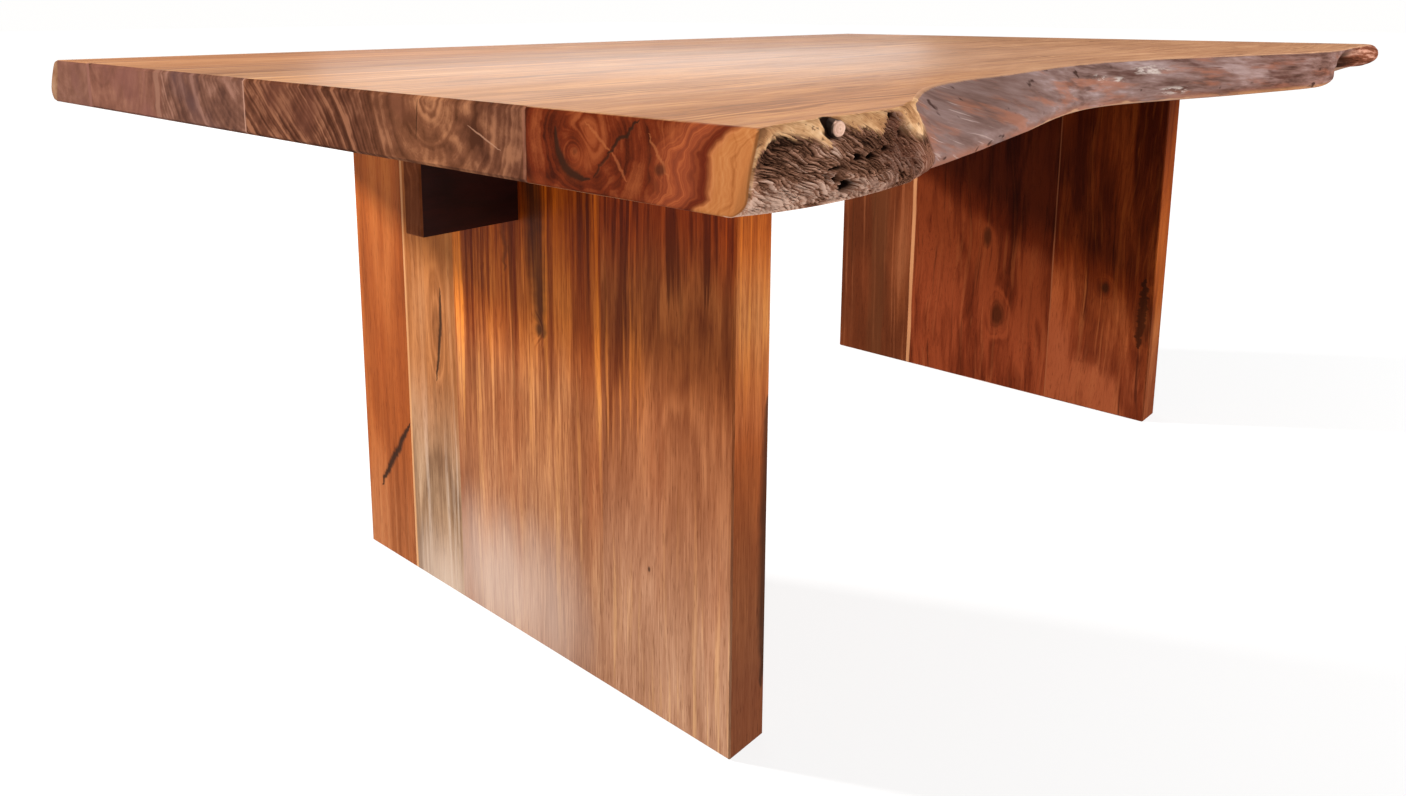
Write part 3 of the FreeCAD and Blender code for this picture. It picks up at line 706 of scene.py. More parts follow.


# the legs' height tints are painted shade under the top and painted light low down
woodLooks = {
    "top_heart_board": dict(
        plainBoard, sunny=(-0.15, -0.70, (1.22, 1.17, 0.98)), pith=(-0.288, 0.760), slant=1.2,
        slide=0.31, bend=0.03, rings=105.0, ripple=0.010, endWeights=(1.45, 0.45, 1.6),
        endStops=shades((0.042, 0.013, 0.0060), (0.086, 0.029, 0.0145), (0.180, 0.071, 0.036)),
        endPatch=(0.084, 0.027, 0.015), heart=(-0.285, 0.24, (1.55, 1.62, 1.45)),
        cracks=[split((-0.272, 0.761), (-0.268, 0.724), 0.0013, 0.003, share=0.7)],
        scratches=[
            split((-0.340, 0.742), (-0.383, 0.725), 0.0012, 0.003, tone=(0.30, 0.15, 0.09), share=0.7),
        ],
        strips=[(-0.4105, 0.004, (0.26, 0.10, 0.06), 0.3)],
    ),
    "top_inner_board": dict(
        plainBoard, pith=(0.02, 0.83), slide=1.7,
        stops=shades((0.144, 0.059, 0.027), (0.297, 0.140, 0.067), (0.43, 0.236, 0.123)),
        endWeights=(0.9, 0.3, 1.6),
        endStops=shades((0.058, 0.023, 0.015), (0.108, 0.045, 0.028), (0.19, 0.090, 0.062)),
        endPatch=(0.078, 0.037, 0.033), strips=[(0.0445, 0.0035, (0.36, 0.19, 0.13), 0.6)],
    ),
    "top_outer_board": dict(
        plainBoard, pith=(0.44, 0.80), slide=3.1, rings=70.0,
        stops=shades((0.162, 0.071, 0.034), (0.306, 0.142, 0.068), (0.44, 0.236, 0.124)),
        endWeights=(0.9, 0.3, 1.2),
        endStops=shades((0.080, 0.031, 0.020), (0.118, 0.046, 0.029), (0.165, 0.070, 0.045)),
        endPatch=(0.125, 0.047, 0.036),
        strips=[(0.266, 0.018, (0.18, 0.085, 0.056), 0.7), (0.306, 0.012, (0.15, 0.060, 0.043), 0.4)],
    ),
    "top_back_board": dict(
        plainBoard, pith=(0.56, 0.84), slide=15.0, rings=70.0,
        stops=shades((0.162, 0.071, 0.034), (0.297, 0.137, 0.066), (0.42, 0.227, 0.119)),
        endWeights=(0.7, 0.3, 1.2),
        endStops=shades((0.080, 0.032, 0.020), (0.112, 0.047, 0.030), (0.150, 0.066, 0.045)),
        endPatch=(0.108, 0.043, 0.033), strips=[(0.487, 0.014, (0.16, 0.066, 0.050), 0.6)],
        dress=backDress,
    ),
    "top_front_board": dict(
        plainBoard, sunny=(-0.15, -0.70, (1.05, 0.94, 0.72)), pith=(-0.475, 0.742), slide=13.0,
        rings=105.0, bend=0.05, ripple=0.016, endWeights=(1.6, 0.8, 1.3),
        endStops=shades((0.036, 0.006, 0.0022), (0.098, 0.0148, 0.0042), (0.19, 0.044, 0.013)),
        endPatch=(0.185, 0.036, 0.0095), sap=frontSap, dress=edgeDress,
        knots=[
            knot((-1.01, -0.468, 0.733), (0.09, 0.022, 0.022), 0.03, 0.2, 0.3),
            knot((-1.01, -0.551, 0.728), (0.06, 0.014, 0.012), 0.012, 0.45, 0.6),
        ],
        scratches=[
            split(
                (-0.505, 0.737), (-0.520, 0.716), 0.0022, 0.004,
                seed=7.0, tone=(0.28, 0.075, 0.025), share=0.5,
            ),
            split(
                (-0.478, 0.756), (-0.505, 0.735), 0.0020, 0.005,
                seed=2.0, tone=(0.28, 0.080, 0.025), share=0.5,
            ),
            split(
                (-0.540, 0.752), (-0.560, 0.722), 0.0020, 0.006,
                seed=9.0, tone=(0.30, 0.090, 0.03), share=0.45,
            ),
        ],
        cracks=[
            split((-0.446, 0.750), (-0.484, 0.714), 0.0060, 0.006, bow=-0.055, soft=0.3, share=0.85),
            split((-0.533, 0.7605), (-0.500, 0.734), 0.0024, 0.007, seed=3.0),
            split((-0.508, 0.741), (-0.486, 0.715), 0.0020, 0.007, seed=5.0, share=0.7),
        ],
    ),
    "left_leg_front_stave": dict(
        plainLeg, pith=(-0.285, 0.615), tilt=(0.0, 0.055), slide=0.6, rings=80.0,
        stops=shades((0.11, 0.027, 0.008), (0.195, 0.062, 0.023), (0.31, 0.118, 0.048)),
        patch=(0.21, 0.052, 0.016), calm=(0.20, 0.52, 0.75), shortness=2.0, veinShadeRise=0.24,
        veinShare=0.9, gleam=((0.52, 0.20, 0.055), 0.8),
        paintedShading=[
            (0.32, 0.46, (1.10, 0.84, 0.50), 0.0),
            (0.51, 0.62, (1.02, 0.58, 0.26), 0.0),
            (0.34, 0.06, (1.42, 2.15, 3.2), 0.0),
        ],
        # painted light on the narrow face, lighter and paler towards the top, partly the wood's own orange to
        # brown
        flank=[
            (0.10, (0.57, 0.34, 0.23)),
            (0.24, (0.85, 0.58, 0.37)),
            (0.36, (1.35, 1.00, 0.62)),
            (0.58, (1.85, 3.00, 4.20)),
        ],
        knots=[knot((-0.697, -0.242, 0.186), (0.02, 0.008, 0.014), 0.005, 0.35, 0.8)],
        cracks=[split((-0.637, 0.42), (-0.641, 0.06), 0.017, 0.014, flankY=-0.366, soft=0.1, share=0.75)],
    ),
    "left_leg_wide_stave": dict(
        plainLeg, pith=(-0.95, 0.66), slide=2.2, rings=80.0, bend=0.05,
        weights=(1.1, 1.0, 1.7, 0.8, 0.8),
        stops=shades((0.10, 0.022, 0.006), (0.205, 0.065, 0.022), (0.40, 0.165, 0.060)),
        patch=(0.24, 0.062, 0.018), gleam=((0.60, 0.26, 0.070), 0.9), calm=(0.22, 0.50, 0.80),
        shortness=1.4, veinShadeRise=0.14,
        paintedShading=[
            (0.34, 0.46, (1.24, 0.86, 0.40), 0.0),
            (0.47, 0.60, (0.66, 0.46, 0.16), 0.10),
            (0.34, 0.08, (1.10, 1.50, 2.2), 0.0),
        ],
        # painted sheen low on the outer face
        paintedSheen={"tone": (0.40, 0.30, 0.245), "share": 0.62, "place": (0.04, 0.05), "size": (0.24, 0.17)},
        cracks=[
            split((-0.036, 0.700), (-0.060, 0.425), 0.030, 0.03, soft=0.0, share=0.7),
            split((0.020, 0.690), (0.012, 0.500), 0.012, 0.03, soft=0.0, seed=4.0, share=0.45),
        ],
        knots=[
            knot((-0.697, -0.053, 0.438), (0.03, 0.024, 0.030), 0.02, 0.55, 0.8),
            knot((-0.697, -0.091, 0.640), (0.03, 0.034, 0.020), 0.015, 0.5, 0.7),
        ],
    ),
    "left_leg_pale_stave": dict(
        plainLeg, pith=(0.178, 0.60), slide=4.4, rings=60.0, tilt=(0.0, 0.03),
        weights=(0.8, 0.8, 0.8, 0.6, 0.6),
        stops=shades((0.125, 0.039, 0.011), (0.24, 0.083, 0.025), (0.34, 0.132, 0.045)),
        patch=(0.22, 0.080, 0.029), gleam=((0.40, 0.18, 0.075), 0.4), veinShare=0.3,
        paintedShading=[(0.42, 0.56, (1.05, 0.88, 0.55), 0.0), (0.36, 0.14, (1.10, 1.85, 3.4), 0.0)],
        # painted sheen low on the outer face
        paintedSheen={"tone": (0.40, 0.31, 0.25), "share": 0.55, "place": (0.17, 0.0), "size": (0.10, 0.12)},
        cracks=[split((0.158, 0.455), (0.174, 0.312), 0.0052, 0.008, bow=0.02)],
        knots=[knot((-0.697, 0.168, 0.385), (0.03, 0.03, 0.13), 0.03, 0.1, 0.3)],
        strips=[(0.2418, 0.008, (0.46, 0.22, 0.09), 0.7)],
    ),
    "left_leg_back_stave": dict(
        plainLeg, pith=(0.30, 0.52), slide=5.3, rings=55.0, weights=(0.8, 0.8, 0.9, 0.5, 0.5),
        stops=shades((0.14, 0.029, 0.005), (0.23, 0.054, 0.011), (0.30, 0.086, 0.021)),
        patch=(0.25, 0.050, 0.009), gleam=((0.32, 0.10, 0.025), 0.4), veinTone=(0.10, 0.024, 0.006),
        veinShare=0.5,
        paintedShading=[(0.24, 0.04, (1.0, 1.25, 1.9), 0.0), (0.46, 0.62, (1.35, 1.4, 1.2), 0.0)],
        cracks=[split((0.246, 0.232), (0.330, 0.105), 0.0090, 0.020, share=0.95)],
    ),
    "right_leg_front_stave": dict(
        plainLeg, shine=0.06, pith=(-0.26, 0.56), slide=6.8, rings=45.0, tilt=(0.0, 0.05), bend=0.14,
        wave=0.06, shortness=2.4, weights=(1.7, 0.8, 0.9, 0.5, 1.6), knotTone=(0.020, 0.004, 0.001),
        stops=shades((0.042, 0.006, 0.0015), (0.100, 0.018, 0.004), (0.190, 0.045, 0.012)),
        patch=(0.13, 0.020, 0.004), gleam=((0.22, 0.062, 0.016), 0.4), veinTone=(0.03, 0.005, 0.0015),
        # painted shadow of the top on a sloping line, and painted light low down
        paintedShading=[(0.34, 0.42, (0.86, 0.66, 0.38), 0.438), (0.36, 0.20, (0.93, 0.90, 1.15), 0.438)],
        # painted light: the narrow face lighter and paler
        flank=[(0.0, (2.05, 2.7, 3.0)), (0.7, (2.05, 2.7, 3.0))],
        knots=[
            knot((0.635, -0.271, 0.266), (0.03, 0.030, 0.034), 0.02, 0.5, 0.95),
            knot((0.635, -0.352, 0.225), (0.05, 0.030, 0.10), 0.03, 0.8, 0.55),
        ],
        cracks=[split((-0.350, 0.300), (-0.345, 0.150), 0.014, 0.020, seed=2.0, turns=8.0, soft=0.4)],
    ),
    "right_leg_middle_stave": dict(
        plainLeg, shine=0.06, pith=(0.05, 0.59), slide=7.9, rings=60.0, bend=0.12, wave=0.06,
        shortness=2.4, weights=(1.8, 0.9, 1.3, 0.6, 2.4), knotTone=(0.020, 0.004, 0.001),
        stops=shades((0.031, 0.0042, 0.0009), (0.060, 0.0088, 0.0020), (0.096, 0.0165, 0.004)),
        patch=(0.086, 0.0125, 0.0022), gleam=((0.125, 0.029, 0.0075), 0.4),
        veinTone=(0.022, 0.004, 0.001),
        # painted shadow of the top on a sloping line, and painted light low down
        paintedShading=[(0.35, 0.40, (0.62, 0.46, 0.32), 0.438), (0.34, 0.10, (1.45, 1.55, 1.9), 0.438)],
        knots=[
            knot((0.635, -0.045, 0.160), (0.03, 0.036, 0.075), 0.035, 0.6, 0.8),
            knot((0.635, -0.010, 0.335), (0.03, 0.022, 0.044), 0.014, 0.7, 0.8),
        ],
        strips=[(0.1735, 0.011, (0.33, 0.145, 0.062), 0.85), (-0.1595, 0.004, (0.20, 0.060, 0.022), 0.6)],
    ),
    "right_leg_back_stave": dict(
        plainLeg, shine=0.06, pith=(0.30, 0.90), slide=9.1, rings=60.0,
        weights=(1.3, 0.5, 0.5, 0.35, 1.3),
        stops=shades((0.056, 0.0125, 0.0038), (0.100, 0.0245, 0.0075), (0.138, 0.040, 0.014)),
        patch=(0.125, 0.023, 0.006), gleam=((0.20, 0.060, 0.022), 0.4), veinTone=(0.035, 0.010, 0.003),
        veinShare=0.8, strips=[(0.262, 0.05, (0.060, 0.018, 0.006), 0.6)],
    ),
    "beam": dict(
        plainBoard, pith=(0.12, 0.62), slide=11.0, shine=0.06,
        stops=shades((0.008, 0.0008, 0.0003), (0.018, 0.0018, 0.0006), (0.034, 0.005, 0.002)),
        patch=(0.020, 0.002, 0.0008), gleam=((0.038, 0.006, 0.002), 0.4),
        veinTone=(0.007, 0.001, 0.0004),
        endStops=shades((0.065, 0.016, 0.005), (0.105, 0.028, 0.009), (0.16, 0.048, 0.018)),
        endPatch=(0.10, 0.028, 0.010),
    ),
}
dowelLook = dict(
    plainBoard, rings=400.0, stops=shades((0.36, 0.22, 0.115), (0.52, 0.34, 0.19), (0.66, 0.47, 0.29)),
    patch=(0.50, 0.31, 0.17), veinTone=(0.30, 0.17, 0.08),
    endStops=shades((0.26, 0.15, 0.075), (0.40, 0.25, 0.135), (0.52, 0.35, 0.20)),
    endPatch=(0.36, 0.22, 0.12), shine=0.08,
)

woodFinishes = {}
for nodeName, look in woodLooks.items():
    woodFinishes[nodeName] = grainFinish(nodeName + "Finish", look)
    wear([nodeName], woodFinishes[nodeName])
wear(["top_dowels", "leg_dowels"], grainFinish("dowelFinish", dowelLook))
print("table: wood finishes made")


# fixings under the top; grit is in waves per metre
fixingLooks = {
    "blackenedSteel": {
        "stops": shades((0.012, 0.012, 0.013), (0.030, 0.029, 0.029), (0.070, 0.066, 0.062)),
        "rough": 0.48, "metallic": 0.7, "grit": (420.0, 420.0, 420.0),
        "nodes": ("bracket_left_front", "bracket_left_back", "bracket_right_front", "bracket_right_back"),
    },
    "zincSteel": {
        "stops": shades((0.30, 0.31, 0.32), (0.52, 0.53, 0.54), (0.70, 0.70, 0.69)), "rough": 0.36,
        "metallic": 1.0, "grit": (650.0, 650.0, 120.0),
        "nodes": ("bracket_bolts", "beam_bolts", "bolt_washers", "leg_screws"),
    },
    "insertBrass": {
        "stops": shades((0.30, 0.17, 0.045), (0.55, 0.36, 0.12), (0.74, 0.54, 0.24)), "rough": 0.34,
        "metallic": 1.0, "grit": (500.0, 500.0, 200.0), "nodes": ("thread_inserts",),
    },
}
fixingWear = (70.0, 70.0, 70.0)


def fixingFinish(name, look):
    material, spot = newFinish(name)
    grit = spot.grow(look["grit"]).cloud(3.0, 0.6)
    worn = spot.grow(fixingWear).cloud(3.0, 0.6)
    sockets = {
        "Base Color": (0.5 + grit.swing(0.7) + worn.swing(1.0)).ramp(look["stops"]),
        "Roughness": look["rough"] + grit.swing(0.25) + worn.swing(0.2),
        "Metallic": look["metallic"],
        "Normal": spot.add("ShaderNodeBump", {}, {"Height": grit, "Strength": 0.25, "Distance": 0.0003}),
    }
    endFinish(spot.add("ShaderNodeBsdfPrincipled", {}, sockets))
    return material


for finishName, look in fixingLooks.items():
    wear(look["nodes"], fixingFinish(finishName, look))
print("table: fixings finished")


# waves in a metre along and up the edge
reliefWaves = {"lump": (20.0, 34.0), "patch": (12.0, 22.0), "swell": (11.0, 22.0), "scrape": (22.0, 170.0)}


def relief(name, sizes):
    # bark strands, lumps and scrapes sunk into a live edge
    tree = bpy.data.node_groups.new(name, "GeometryNodeTree")
    tree.interface.new_socket(name="Geometry", in_out="INPUT", socket_type="NodeSocketGeometry")
    for label, value in sizes.items():
        socket = tree.interface.new_socket(name=label, in_out="INPUT", socket_type="NodeSocketFloat")
        socket.default_value = value
    tree.interface.new_socket(name="Finish", in_out="INPUT", socket_type="NodeSocketMaterial")
    tree.interface.new_socket(name="Geometry", in_out="OUTPUT", socket_type="NodeSocketGeometry")
    entry = tree.nodes.new("NodeGroupInput")
    given = {socket.name: Flow(tree, socket) for socket in entry.outputs if socket.name}
    flow = given["Geometry"]

    def read(label):
        return flow.add("GeometryNodeInputNamedAttribute", {"data_type": "FLOAT"}, {"Name": label})

    x, y, z = flow.add("GeometryNodeInputPosition", {}, {}).parts()
    seed = given["Seed"]
    edge, tint, _, _ = strandField(x, z, {**barkStrands, "seed": seed})
    # rounded strands at different heights with deep narrow gaps
    gap = 1.0 - edge.ease(0.01, 0.17)
    ridge = edge.ease(0.0, 0.42)
    lump = drift(x, z, reliefWaves["lump"], seed + 11.0).ease(0.28, 0.72)
    patch = drift(x, z, reliefWaves["patch"], seed + 17.0).ease(0.35, 0.65)
    barkDepth = (gap * (patch * 0.7 + 0.5) + (1.0 - ridge) * 0.45) * given["Fibre Depth"]
    barkDepth = barkDepth + (1.0 - tint) * given["Strand Step"] + lump * given["Lump Depth"]
    waveX, waveY, waveZ = edgeWaves["blotch"]
    blotch = flow.join(x * waveX, y * waveY, z * waveZ).cloud(3.0)
    rimGap = read("rimGap") + blotch.swing(0.008) + tint.swing(0.004)
    barkDepth = barkDepth * rimGap.ease(-0.001, 0.004)
    swell = drift(x, z, reliefWaves["swell"], seed + 23.0).ease(0.25, 0.75)
    waveX, waveZ = reliefWaves["scrape"]
    scrape = flow.join((x + z * 0.5) * waveX, 0.0, (z + x * 0.22) * waveZ).cloud(3.0, 0.65)
    skinDepth = (swell + scrape.ease(0.42, 0.75) * 0.32) * given["Skin Depth"]
    depth = (read("bark") * barkDepth + read("skin") * skinDepth) * read("face")
    # no point stands past the sanded plane, and what it cuts is bare sapwood
    out = given["Outward"]
    reach = y * out - depth
    sanded = read("sanded")
    bare = (reach - sanded).ease(0.0, 0.0012).most(read("gold"))
    moved = flow.join(x, reach.least(sanded) * out, z)
    settings = {"data_type": "FLOAT", "domain": "POINT"}
    sockets = {"Geometry": flow, "Name": "sap", "Value": bare}
    geometry = flow.add("GeometryNodeStoreNamedAttribute", settings, sockets)
    geometry = flow.add("GeometryNodeSetPosition", {}, {"Geometry": geometry, "Position": moved})
    geometry = flow.add("GeometryNodeRealizeInstances", {}, {"Geometry": geometry})
    geometry = flow.add("GeometryNodeSetMaterial", {}, {"Geometry": geometry, "Material": given["Finish"]})
    leave = tree.nodes.new("NodeGroupOutput")
    flow.plug(leave.inputs[0], geometry)
    return tree


def applyTree(piece, tree, values):
    # the tree's result becomes the piece's own plain mesh
    modifier = piece.modifiers.new(tree.name, "NODES")
    modifier.node_group = tree
    for item in tree.interface.items_tree:
        if item.in_out == "INPUT" and item.name in values:
            modifier[item.identifier] = values[item.name]
    graph = bpy.context.evaluated_depsgraph_get()
    mesh = bpy.data.meshes.new_from_object(piece.evaluated_get(graph))
    piece.modifiers.clear()
    piece.data = mesh
    return mesh


def table(rows, places):
    # rows of place and value, or one value all along
    if isinstance(rows, float):
        return np.full(np.shape(places), rows)
    return np.interp(places, [row[0] for row in rows], [row[1] for row in rows])


def smooth(low, high, values):
    share = np.clip((values - low) / (high - low), 0.0, 1.0)
    return share * share * (3.0 - 2.0 * share)


def roundOff(radius, away):
    # how far a rounded corner draws in at a distance from its edge
    left = np.clip(radius - away, 0.0, radius)
    return radius - np.sqrt(np.maximum(radius * radius - left * left, 0.0))


# rows are place along the board and size, unless a note says otherwise
frontEdge = {
    "node": "top_front_board", "outward": -1.0,
    "steps": ((-1.010, 0.0013), (-0.74, 0.006), (0.60, 0.003), (0.86, 0.005), (1.010, 0.005)),
    "faceRows": 124,
    "topRound": ((-0.7, 0.002), (0.5, 0.003), (0.8, 0.008), (0.87, 0.014), (1.01, 0.016)),
    "underRound": (
        (-1.01, 0.012), (-0.75, 0.010), (-0.6, 0.004), (0.5, 0.005), (0.77, 0.014), (0.86, 0.022),
        (1.01, 0.024),
    ),
    "underLift": ((0.63, 0.0), (0.70, 0.010), (0.78, 0.018), (1.01, 0.017)),
    "endRounds": (0.003, 0.022),
    # sanded rim along the top: how far in, and how far down
    "rimIn": (
        (-1.010, 0.0010), (-1.002, 0.0016), (-0.996, 0.0020), (-0.980, 0.0030), (-0.962, 0.0040),
        (-0.864, 0.0040), (-0.854, 0.0030), (-0.836, 0.0030), (-0.824, 0.0040), (-0.815, 0.0050),
        (-0.787, 0.0050), (-0.772, 0.0020),
    ),
    "rimDown": (
        (-1.010, 0.020), (-1.002, 0.014), (-0.996, 0.007), (-0.980, 0.0075), (-0.962, 0.0105),
        (-0.951, 0.013), (-0.943, 0.018), (-0.937, 0.020), (-0.929, 0.012), (-0.915, 0.006), (-0.901, 0.010),
        (-0.892, 0.008), (-0.880, 0.013), (-0.873, 0.016), (-0.864, 0.009), (-0.854, 0.003), (-0.836, 0.004),
        (-0.824, 0.013), (-0.815, 0.020), (-0.800, 0.023), (-0.787, 0.016), (-0.772, 0.0022), (-0.72, 0.0016),
    ),
    # the bark stands this far proud of the bare skin beside it
    "scarIn": ((-0.812, 0.0), (-0.788, 0.006), (-0.74, 0.012), (-0.65, 0.010), (-0.4, 0.0)),
    "footIn": ((-0.70, 0.0), (-0.62, 0.0035), (0.3, 0.003), (0.7, 0.0)),
    # share of the way down the face, and where bark stops and bare skin starts there
    "barkLine": ((0.0, -0.832), (0.25, -0.823), (0.4, -0.816), (0.6, -0.812), (0.8, -0.803), (1.0, -0.795)),
    "skinLine": ((0.0, -0.786), (0.22, -0.785), (0.5, -0.781), (0.75, -0.771), (1.0, -0.762)),
    # x, drop below the top, half width, half height, depth, darkness of the painted shade
    "hollows": (
        (-0.9245, 0.0070, 0.0115, 0.0085, 0.0065, 1.0),
        (-0.9120, 0.0465, 0.0105, 0.0042, 0.013, 1.0),
        (-0.9275, 0.0405, 0.0052, 0.0036, 0.009, 1.0),
        (-0.9385, 0.0375, 0.0030, 0.0026, 0.006, 1.0),
        (-0.9300, 0.0335, 0.0090, 0.0016, 0.005, 0.8),
        (-0.9005, 0.0286, 0.0070, 0.0026, 0.008, 1.0),
        (-0.8848, 0.0294, 0.0070, 0.0030, 0.008, 1.0),
        (-0.8640, 0.0260, 0.0070, 0.0026, 0.007, 0.9),
        (-0.8480, 0.0045, 0.0085, 0.0030, 0.006, 0.9),
        (-0.8350, 0.0180, 0.0060, 0.0036, 0.006, 0.8),
        (-0.372, 0.0430, 0.0060, 0.0040, 0.004, 0.6),
        (0.738, 0.043, 0.074, 0.032, 0.050, 0.8),
        # painted shade only, with no cut
        (0.790, 0.043, 0.060, 0.034, 0.0, 1.0),
    ),
    "relief": {
        "Fibre Depth": 0.0024, "Strand Step": 0.0016, "Lump Depth": 0.0042, "Skin Depth": 0.0044,
        "Seed": barkStrands["seed"], "Outward": -1.0,
    },
}
backEdge = {
    "node": "top_back_board", "outward": 1.0, "steps": ((-1.010, 0.006), (1.010, 0.006)),
    "faceRows": 22, "topRound": 0.009, "underRound": 0.011, "underLift": 0.0,
    "endRounds": (0.005, 0.005), "rimIn": 0.0, "rimDown": 0.003, "scarIn": 0.0, "footIn": 0.0,
    "barkLine": -2.0, "skinLine": -1.9, "hollows": (),
    "relief": {
        "Fibre Depth": 0.002, "Strand Step": 0.001, "Lump Depth": 0.002, "Skin Depth": 0.0016,
        "Seed": 9.0, "Outward": 1.0,
    },
}
boardMesh = {
    "endEase": 0.003, "nearEnd": (0.0, 0.0004, 0.001, 0.0018, 0.003),
    "farEnd": (0.0, 0.0004, 0.001, 0.002, 0.0035, 0.006, 0.009), "clearOfEnds": (0.0038, 0.011),
    "rayFrom": 2.0, "rayInset": (0.005, 0.0005), "bellyShare": 0.7,
    "topShares": (0.0, 0.25, 0.5, 0.75, 0.9, 0.97, 0.992),
    "underShares": (0.985, 0.95, 0.88, 0.78, 0.6, 0.3, 0.0), "sharpAngle": 55.0,
    # ranges along the board, or in shares of the way down the face, over which the weights change
    "barkFade": (0.014, 0.004), "skinFade": (0.006, 0.012), "crestFade": (0.20, 0.48),
    "cornerFade": (0.0015, 0.0045), "cornerLow": (0.45, 0.75), "reliefTop": (0.0, 0.05),
    "reliefFoot": (0.93, 1.0), "reliefNear": (0.0015, 0.016), "liftFade": (0.0, 0.06), "footSlope": 0.9,
    "unsanded": 9.0,
}
# ragged outlines of the hollows: finest waves in a metre, waves in a half width, seed, strength, reach
hollowEdge = {"finest": (110.0, 150.0), "waves": 1.5, "seed": 3.0, "strength": 0.7, "reach": 3.0}


def boardStations(steps, half):
    # places along the board, closer where the edge is rough and at the eased ends
    nearClear, farClear = boardMesh["clearOfEnds"]
    middle = []
    for (begin, step), (stop, _) in zip(steps[:-1], steps[1:]):
        middle.extend(x for x in np.arange(begin, stop, step) if nearClear - half < x < half - farClear)
    farEnd = half - np.array(boardMesh["farEnd"])
    return np.concatenate((np.array(boardMesh["nearEnd"]) - half, middle, farEnd[::-1]))


def boardHollows(rows, xs, drop):
    # how deep the hollows cut and how dark their painted shade is, with ragged outlines no finer than the
    # hollow
    cut = np.zeros_like(drop)
    pit = np.zeros_like(drop)
    for spotX, spotDrop, wide, tall, deep, dark in rows:
        finestX, finestZ = hollowEdge["finest"]
        waveX, waveZ = min(finestX, hollowEdge["waves"] / wide), min(finestZ, hollowEdge["waves"] / tall)
        near = np.abs(xs - spotX) < hollowEdge["reach"] * wide
        wobble = np.zeros_like(drop)
        wobble[near] = [
            [noise.noise((x * waveX, down * waveZ, hollowEdge["seed"])) for down in row]
            for x, row in zip(xs[near], drop[near])
        ]
        away = ((xs[:, None] - spotX) / wide) ** 2 + ((drop - spotDrop) / tall) ** 2
        bowl = np.exp(-((away * (1.0 + hollowEdge["strength"] * wobble)) ** 2)) * near[:, None]
        cut = cut + deep * bowl
        pit = np.maximum(pit, bowl * dark)
    return cut, pit


def loopFaces(total, count, flip):
    # quads round and along the board, and a cap at each end
    faces = []
    for i in range(total - 1):
        for j in range(count):
            k = (j + 1) % count
            faces.append((i * count + j, i * count + k, (i + 1) * count + k, (i + 1) * count + j))
    faces.append(tuple(reversed(range(count))))
    faces.append(tuple(range((total - 1) * count, total * count)))
    return [face[::-1] for face in faces] if flip else faces


